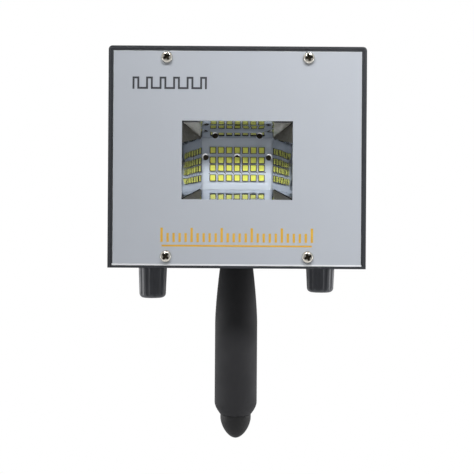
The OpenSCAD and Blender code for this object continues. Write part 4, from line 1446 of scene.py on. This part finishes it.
@dataclass
class PowerEntry:
    """Mains inlet and rocker switch on the rear panel.

    Attributes:
        pivot: Place of the rocker's pivot.
        tilt: Angle of each half of the rocker to its base, in degrees.
        rise: Height of the fold of the rocker above the pivot.
        mark_away: Distance of the marks from that fold.
        mark_size: Half of the height of a mark.
        mark_stroke: Width of the strokes of a mark.
        mark_lift: Thickness of the ink.
    """

    pivot: Point = (-34.0, 53.0, 90.25)
    tilt: float = 10.0
    rise: float = 2.7
    mark_away: float = 3.7
    mark_size: float = 1.6
    mark_stroke: float = 0.55
    mark_lift: float = 0.03

    def build(self) -> None:
        """Dress the fittings and print the marks of the switch."""
        self.print_marks()
        dress(FITTING, "inlet_housing", "switch_housing", "rocker")
        dress(CONTACT, "inlet_pins", "switch_terminals")
        dress(ZINC, "inlet_nuts")

    def print_marks(self) -> None:
        """Print a ring on the half that is pressed at rest and a bar on the other half."""
        size, stroke = self.mark_size, self.mark_stroke
        profile = [(0.0, -self.mark_lift), (0.0, 0.0)]
        lean = math.radians(self.tilt)
        fold = Vector(self.pivot) + self.rise * Vector((0.0, math.cos(lean), math.sin(lean)))
        rings = [circle(0.0, 0.0, size), circle(0.0, 0.0, size - stroke)]
        marks = ((1.0, 0.0, rings), (-1.0, 2 * lean, [Outline((0.0, 0.0), (stroke / 2, size))]))
        bm = bmesh.new()
        for way, angle, outlines in marks:
            # A mark is drawn facing the front, turned to the back and leaned with its half
            up = Vector((0.0, -math.sin(angle), math.cos(angle)))
            out = Vector((0.0, math.cos(angle), math.sin(angle)))
            mark = bmesh.new()
            plate(mark, [(outline, profile, ()) for outline in outlines])
            turn = Matrix((Vector((-1.0, 0.0, 0.0)), -out, up)).transposed().to_4x4()
            mark.transform(Matrix.Translation(fold + way * self.mark_away * up) @ turn)
            mesh = bpy.data.meshes.new("mark")
            mark.to_mesh(mesh)
            mark.free()
            bm.from_mesh(mesh)
            bpy.data.meshes.remove(mesh)
        piece("switch_marks_print", bm, (WHITE_INK,), Body.SWITCH)


@dataclass
class Electronics:
    """Circuit boards, their parts, and the potentiometers.

    Attributes:
        boards: Nodes of the boards.
        parts: Nodes of the parts on them.
        plated: Nodes of zinc plated steel.
    """

    boards: Sequence[str] = ("supply_board", "driver_board")
    parts: Sequence[str] = ("supply_parts", "driver_parts")
    plated: Sequence[str] = (
        "board_screws", "coarse_pot", "fine_pot", "pot_washers", "pot_nuts", "coarse_shaft",
        "fine_shaft", "front_panel_nuts", "rear_panel_nuts",
    )

    def build(self) -> None:
        """Dress the boards and everything on them."""
        dress(GREEN_BOARD, *self.boards)
        dress(EPOXY_PARTS, *self.parts)
        dress(CONTACT, "board_standoffs")
        dress(ZINC, *self.plated)


@dataclass
class Studio:
    """Camera, lights, floor and white surroundings.

    Attributes:
        distance: Distance of the camera from the panel's face.
        aim: X and Z of the camera.
        pixel: Size of a pixel on the panel's face.
        picture: Width of the picture in pixels.
        sensor: Width of the camera's sensor.
        near: Distance from which the camera sees.
        roll: Turn of the camera about its view, in degrees.
        paper: Colour of the floor.
        floor: Height of the floor.
        floor_half: Half of the width of the floor.
        floor_near: Distance out to which the floor is plain paper.
        floor_far: Distance from which it is lost in the white surroundings.
        floor_veil: Share of that white over the plain paper.
        floor_sweep: Y on the floor between which reflections turn from the room to white.
        sky_sweep: Y of a direction between which they do so in the surroundings.
        room: Brightness, in reflections, of the room before the white sweep.
        surround: Strength of the light from all round.
        keys: Place and power in watts of each of the two key lamps.
        key_size: Width of a key lamp.
        key_aim: Place that the key lamps look at.
        key_spread: Angle to which their grids hold the light, in degrees.
        pairs: Name, place, height of the aim, width and power in watts of the right one of
            each pair of lamps behind and beside the object.
    """

    distance: float = 500.0
    aim: Pair = (0.2, 75.2)
    pixel: float = 0.6655
    picture: int = 474
    sensor: float = 36.0
    near: float = 10.0
    roll: float = -0.38
    paper: str = "#f2f2f2"
    floor: float = -330.0
    floor_half: float = 6000.0
    floor_near: float = 450.0
    floor_far: float = 750.0
    floor_veil: float = 0.7
    floor_sweep: Pair = (-1600.0, 200.0)
    sky_sweep: Pair = (-0.7, 0.2)
    room: float = 0.4
    surround: float = 0.17
    keys: Sequence[tuple[Point, float]] = (
        ((-330.0, -700.0, 900.0), 0.96), ((330.0, -700.0, 900.0), 1.33),
    )
    key_size: float = 200.0
    key_aim: Point = (250.0, 0.0, 60.0)
    key_spread: float = 70.0
    pairs: Sequence[tuple[str, Point, float, float, float]] = (
        ("back_lamp", (750.0, 900.0, 800.0), 120.0, 1200.0, 11.0),
        ("side_lamp", (650.0, 130.0, 0.0), 0.0, 480.0, 2.5),
    )

    def build(self) -> None:
        """Set up the camera, the lamps and the surroundings."""
        self.add_camera()
        for i, (place, power) in enumerate(self.keys):
            lamp = self.add_lamp(f"key_lamp_{i}", place, self.key_aim, self.key_size, power)
            lamp.spread = math.radians(self.key_spread)
        for name, (across, depth, height), aim, size, power in self.pairs:
            for side, x in (("left", -across), ("right", across)):
                place, target = (x, depth, height), (0.0, 0.0, aim)
                self.add_lamp(f"{name}_{side}", place, target, size, power)
        self.add_world()
        self.add_floor()
        bpy.context.scene.view_settings.view_transform = "Standard"

    def add_camera(self) -> None:
        """Put the camera straight in front of the panel."""
        low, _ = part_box("front_panel")
        data = bpy.data.cameras.new("camera")
        data.sensor_width = self.sensor
        data.lens = self.sensor * self.distance / (self.pixel * self.picture)
        data.clip_start = self.near * MM
        camera = bpy.data.objects.new("camera", data)
        camera.location = (self.aim[0] * MM, low.y - self.distance * MM, self.aim[1] * MM)
        camera.rotation_euler = (math.radians(90), math.radians(self.roll), 0.0)
        bpy.context.scene.collection.objects.link(camera)
        bpy.context.scene.camera = camera

    def add_lamp(
        self, name: str, place: Point, target: Point, size: float, power: float
    ) -> bpy.types.Light:
        """Hang a round soft lamp.

        Args:
            name: Name of the lamp.
            place: Place of the lamp.
            target: Place that it looks at.
            size: Width of the lamp.
            power: Power of the lamp, in watts.

        Returns:
            The lamp's settings.
        """
        data = bpy.data.lights.new(name, "AREA")
        data.shape = "DISK"
        data.size = size * MM
        data.energy = power
        lamp = bpy.data.objects.new(name, data)
        lamp.location = Vector(place) * MM
        aim = Vector(target) - Vector(place)
        lamp.rotation_euler = aim.to_track_quat("-Z", "Y").to_euler()
        bpy.context.scene.collection.objects.link(lamp)
        return data

    def add_world(self) -> None:
        """Surround the object with even light that looks white."""
        world = bpy.data.worlds.new("studio")
        bpy.context.scene.world = world
        tree = bare_tree(world)
        way = add(tree, "ShaderNodeTexCoord").outputs["Generated"]
        seen = {"Color": WHITE, "Strength": self.add_sweep(tree, way, *self.sky_sweep)}
        white = add(tree, "ShaderNodeBackground", seen)
        light = add(tree, "ShaderNodeBackground", {"Color": WHITE, "Strength": self.surround})
        ends = {
            0: self.add_seen(tree), 1: light.outputs["Background"], 2: white.outputs["Background"],
        }
        mix = add(tree, "ShaderNodeMixShader", ends)
        add(tree, "ShaderNodeOutputWorld", {"Surface": mix.outputs["Shader"]})

    def add_sweep(self, tree: Tree, way: Socket, front: float, back: float) -> Socket:
        """Add the brightness of the surroundings, white to the camera on every side.

        Args:
            tree: Node tree that gets the brightness.
            way: Socket with a direction or a place.
            front: Y up to which reflections show the dim room.
            back: Y from which reflections show the white sweep.

        Returns:
            Socket with the brightness.
        """
        depth = add(tree, "ShaderNodeSeparateXYZ", {"Vector": way}).outputs["Y"]
        span = {
            "Value": depth, "From Min": front, "From Max": back, "To Min": self.room, "To Max": 1.0,
        }
        fade = add(tree, "ShaderNodeMapRange", span).outputs["Result"]
        camera = add(tree, "ShaderNodeLightPath").outputs["Is Camera Ray"]
        level = add(tree, "ShaderNodeMath", {0: camera, 1: fade}, operation="MAXIMUM")
        return level.outputs["Value"]

    def add_seen(self, tree: Tree) -> Socket:
        """Add the test for rays that show the surroundings to the eye.

        Args:
            tree: Node tree that gets the test.

        Returns:
            Socket that is 1 for camera, glossy and transmission rays, and 0 once a ray has
            left a dull surface, so that mirrors don't add light to what they face.
        """
        path = add(tree, "ShaderNodeLightPath").outputs
        seen = path["Is Camera Ray"]
        for kind in ("Is Glossy Ray", "Is Transmission Ray"):
            either = add(tree, "ShaderNodeMath", {0: seen, 1: path[kind]}, operation="MAXIMUM")
            seen = either.outputs["Value"]
        # The depth counts dull bounces, so that less than half of one is none
        dull = {0: path["Diffuse Depth"], 1: 0.5}
        direct = add(tree, "ShaderNodeMath", dull, operation="LESS_THAN").outputs["Value"]
        both = add(tree, "ShaderNodeMath", {0: seen, 1: direct}, operation="MULTIPLY")
        return both.outputs["Value"]

    def add_floor(self) -> None:
        """Lay a pale paper floor that keeps the shadow and fades into the surroundings."""
        bm = bmesh.new()
        half = self.floor_half * MM
        corners = [(-half, -half), (half, -half), (half, half), (-half, half)]
        bm.faces.new([bm.verts.new((x, y, self.floor * MM)) for x, y in corners])
        mesh = bpy.data.meshes.new("floor")
        bm.to_mesh(mesh)
        bm.free()
        mesh.materials.append(self.paper_material())
        floor = bpy.data.objects.new("floor", mesh)
        bpy.context.scene.collection.objects.link(floor)

    def paper_material(self) -> bpy.types.Material:
        """Make the paper of the floor, which turns white to the eye further out.

        Returns:
            The material.
        """
        made = bpy.data.materials.new("white_paper")
        tree = bare_tree(made)
        place = add(tree, "ShaderNodeTexCoord").outputs["Object"]
        plan = {0: place, 1: (1.0, 1.0, 0.0)}
        flat = add(tree, "ShaderNodeVectorMath", plan, operation="MULTIPLY").outputs["Vector"]
        away = add(tree, "ShaderNodeVectorMath", {0: flat}, operation="LENGTH").outputs["Value"]
        span = {
            "Value": away,
            "From Min": self.floor_near * MM,
            "From Max": self.floor_far * MM,
            "To Min": self.floor_veil,
            "To Max": 1.0,
        }
        fade = add(tree, "ShaderNodeMapRange", span).outputs["Result"]
        veil = {0: self.add_seen(tree), 1: fade}
        share = add(tree, "ShaderNodeMath", veil, operation="MULTIPLY").outputs["Value"]
        paper = add(tree, "ShaderNodeBsdfDiffuse", {"Color": linear(self.paper)})
        front, back = (y * MM for y in self.floor_sweep)
        seen = {"Color": WHITE, "Strength": self.add_sweep(tree, place, front, back)}
        white = add(tree, "ShaderNodeEmission", seen)
        ends = {0: share, 1: paper.outputs["BSDF"], 2: white.outputs["Emission"]}
        mix = add(tree, "ShaderNodeMixShader", ends)
        add(tree, "ShaderNodeOutputMaterial", {"Surface": mix.outputs["Shader"]})
        return made


def screw_sets() -> list[ScrewSet]:
    """Give the sets of pan head screws that show on the outside.

    Returns:
        One set for each node of screws.
    """
    front, back, side, flange = -52.5, 52.5, 86.0, 55.5
    # Each cross stands at an angle of its own, as the screws were driven
    turns = (33.0, 12.0, 52.0, 24.0)
    spots = [(x, z) for z in reversed(PANEL_SCREW_Z) for x in (-PANEL_SCREW_X, PANEL_SCREW_X)]
    ahead = [((x, front, z), (0, -1, 0), turn) for (x, z), turn in zip(spots, turns)]
    behind = [((x, back, z), (0, 1, 0), turn + 20) for (x, z), turn in zip(spots, turns)]
    beside = [
        ((way * side, y, 63.25), (way, 0, 0), 15.0 + y + 40.0 * way)
        for way in (-1, 1)
        for y in (-32.0, 32.0)
    ]
    inlet = [((x, flange, 90.25), (0, 1, 0), 3.0 * x) for x in (10.0, 50.0)]
    return [
        ScrewSet("front_panel_screws", 4.0, 7.8, ahead),
        ScrewSet("rear_panel_screws", 4.0, 7.8, behind),
        ScrewSet("cover_screws", 3.0, 6.0, beside, pitch=0.5),
        ScrewSet("inlet_screws", 3.0, 8.4, inlet, pitch=0.5),
    ]


def main() -> None:
    """Build the studio and every assembly in order."""
    logging.basicConfig(level=logging.INFO, format="%(message)s")
    Studio().build()
    CaseShell().build()
    FrontPanel().build()
    for screws in screw_sets():
        screws.build()
    LampHead().build()
    ControlKnob("coarse_knob", Body.COARSE, -61.5, 23.1).build()
    ControlKnob("fine_knob", Body.FINE, 61.5, 18.4).build()
    Handle().build()
    PowerEntry().build()
    Electronics().build()


if __name__ == "__main__":
    main()
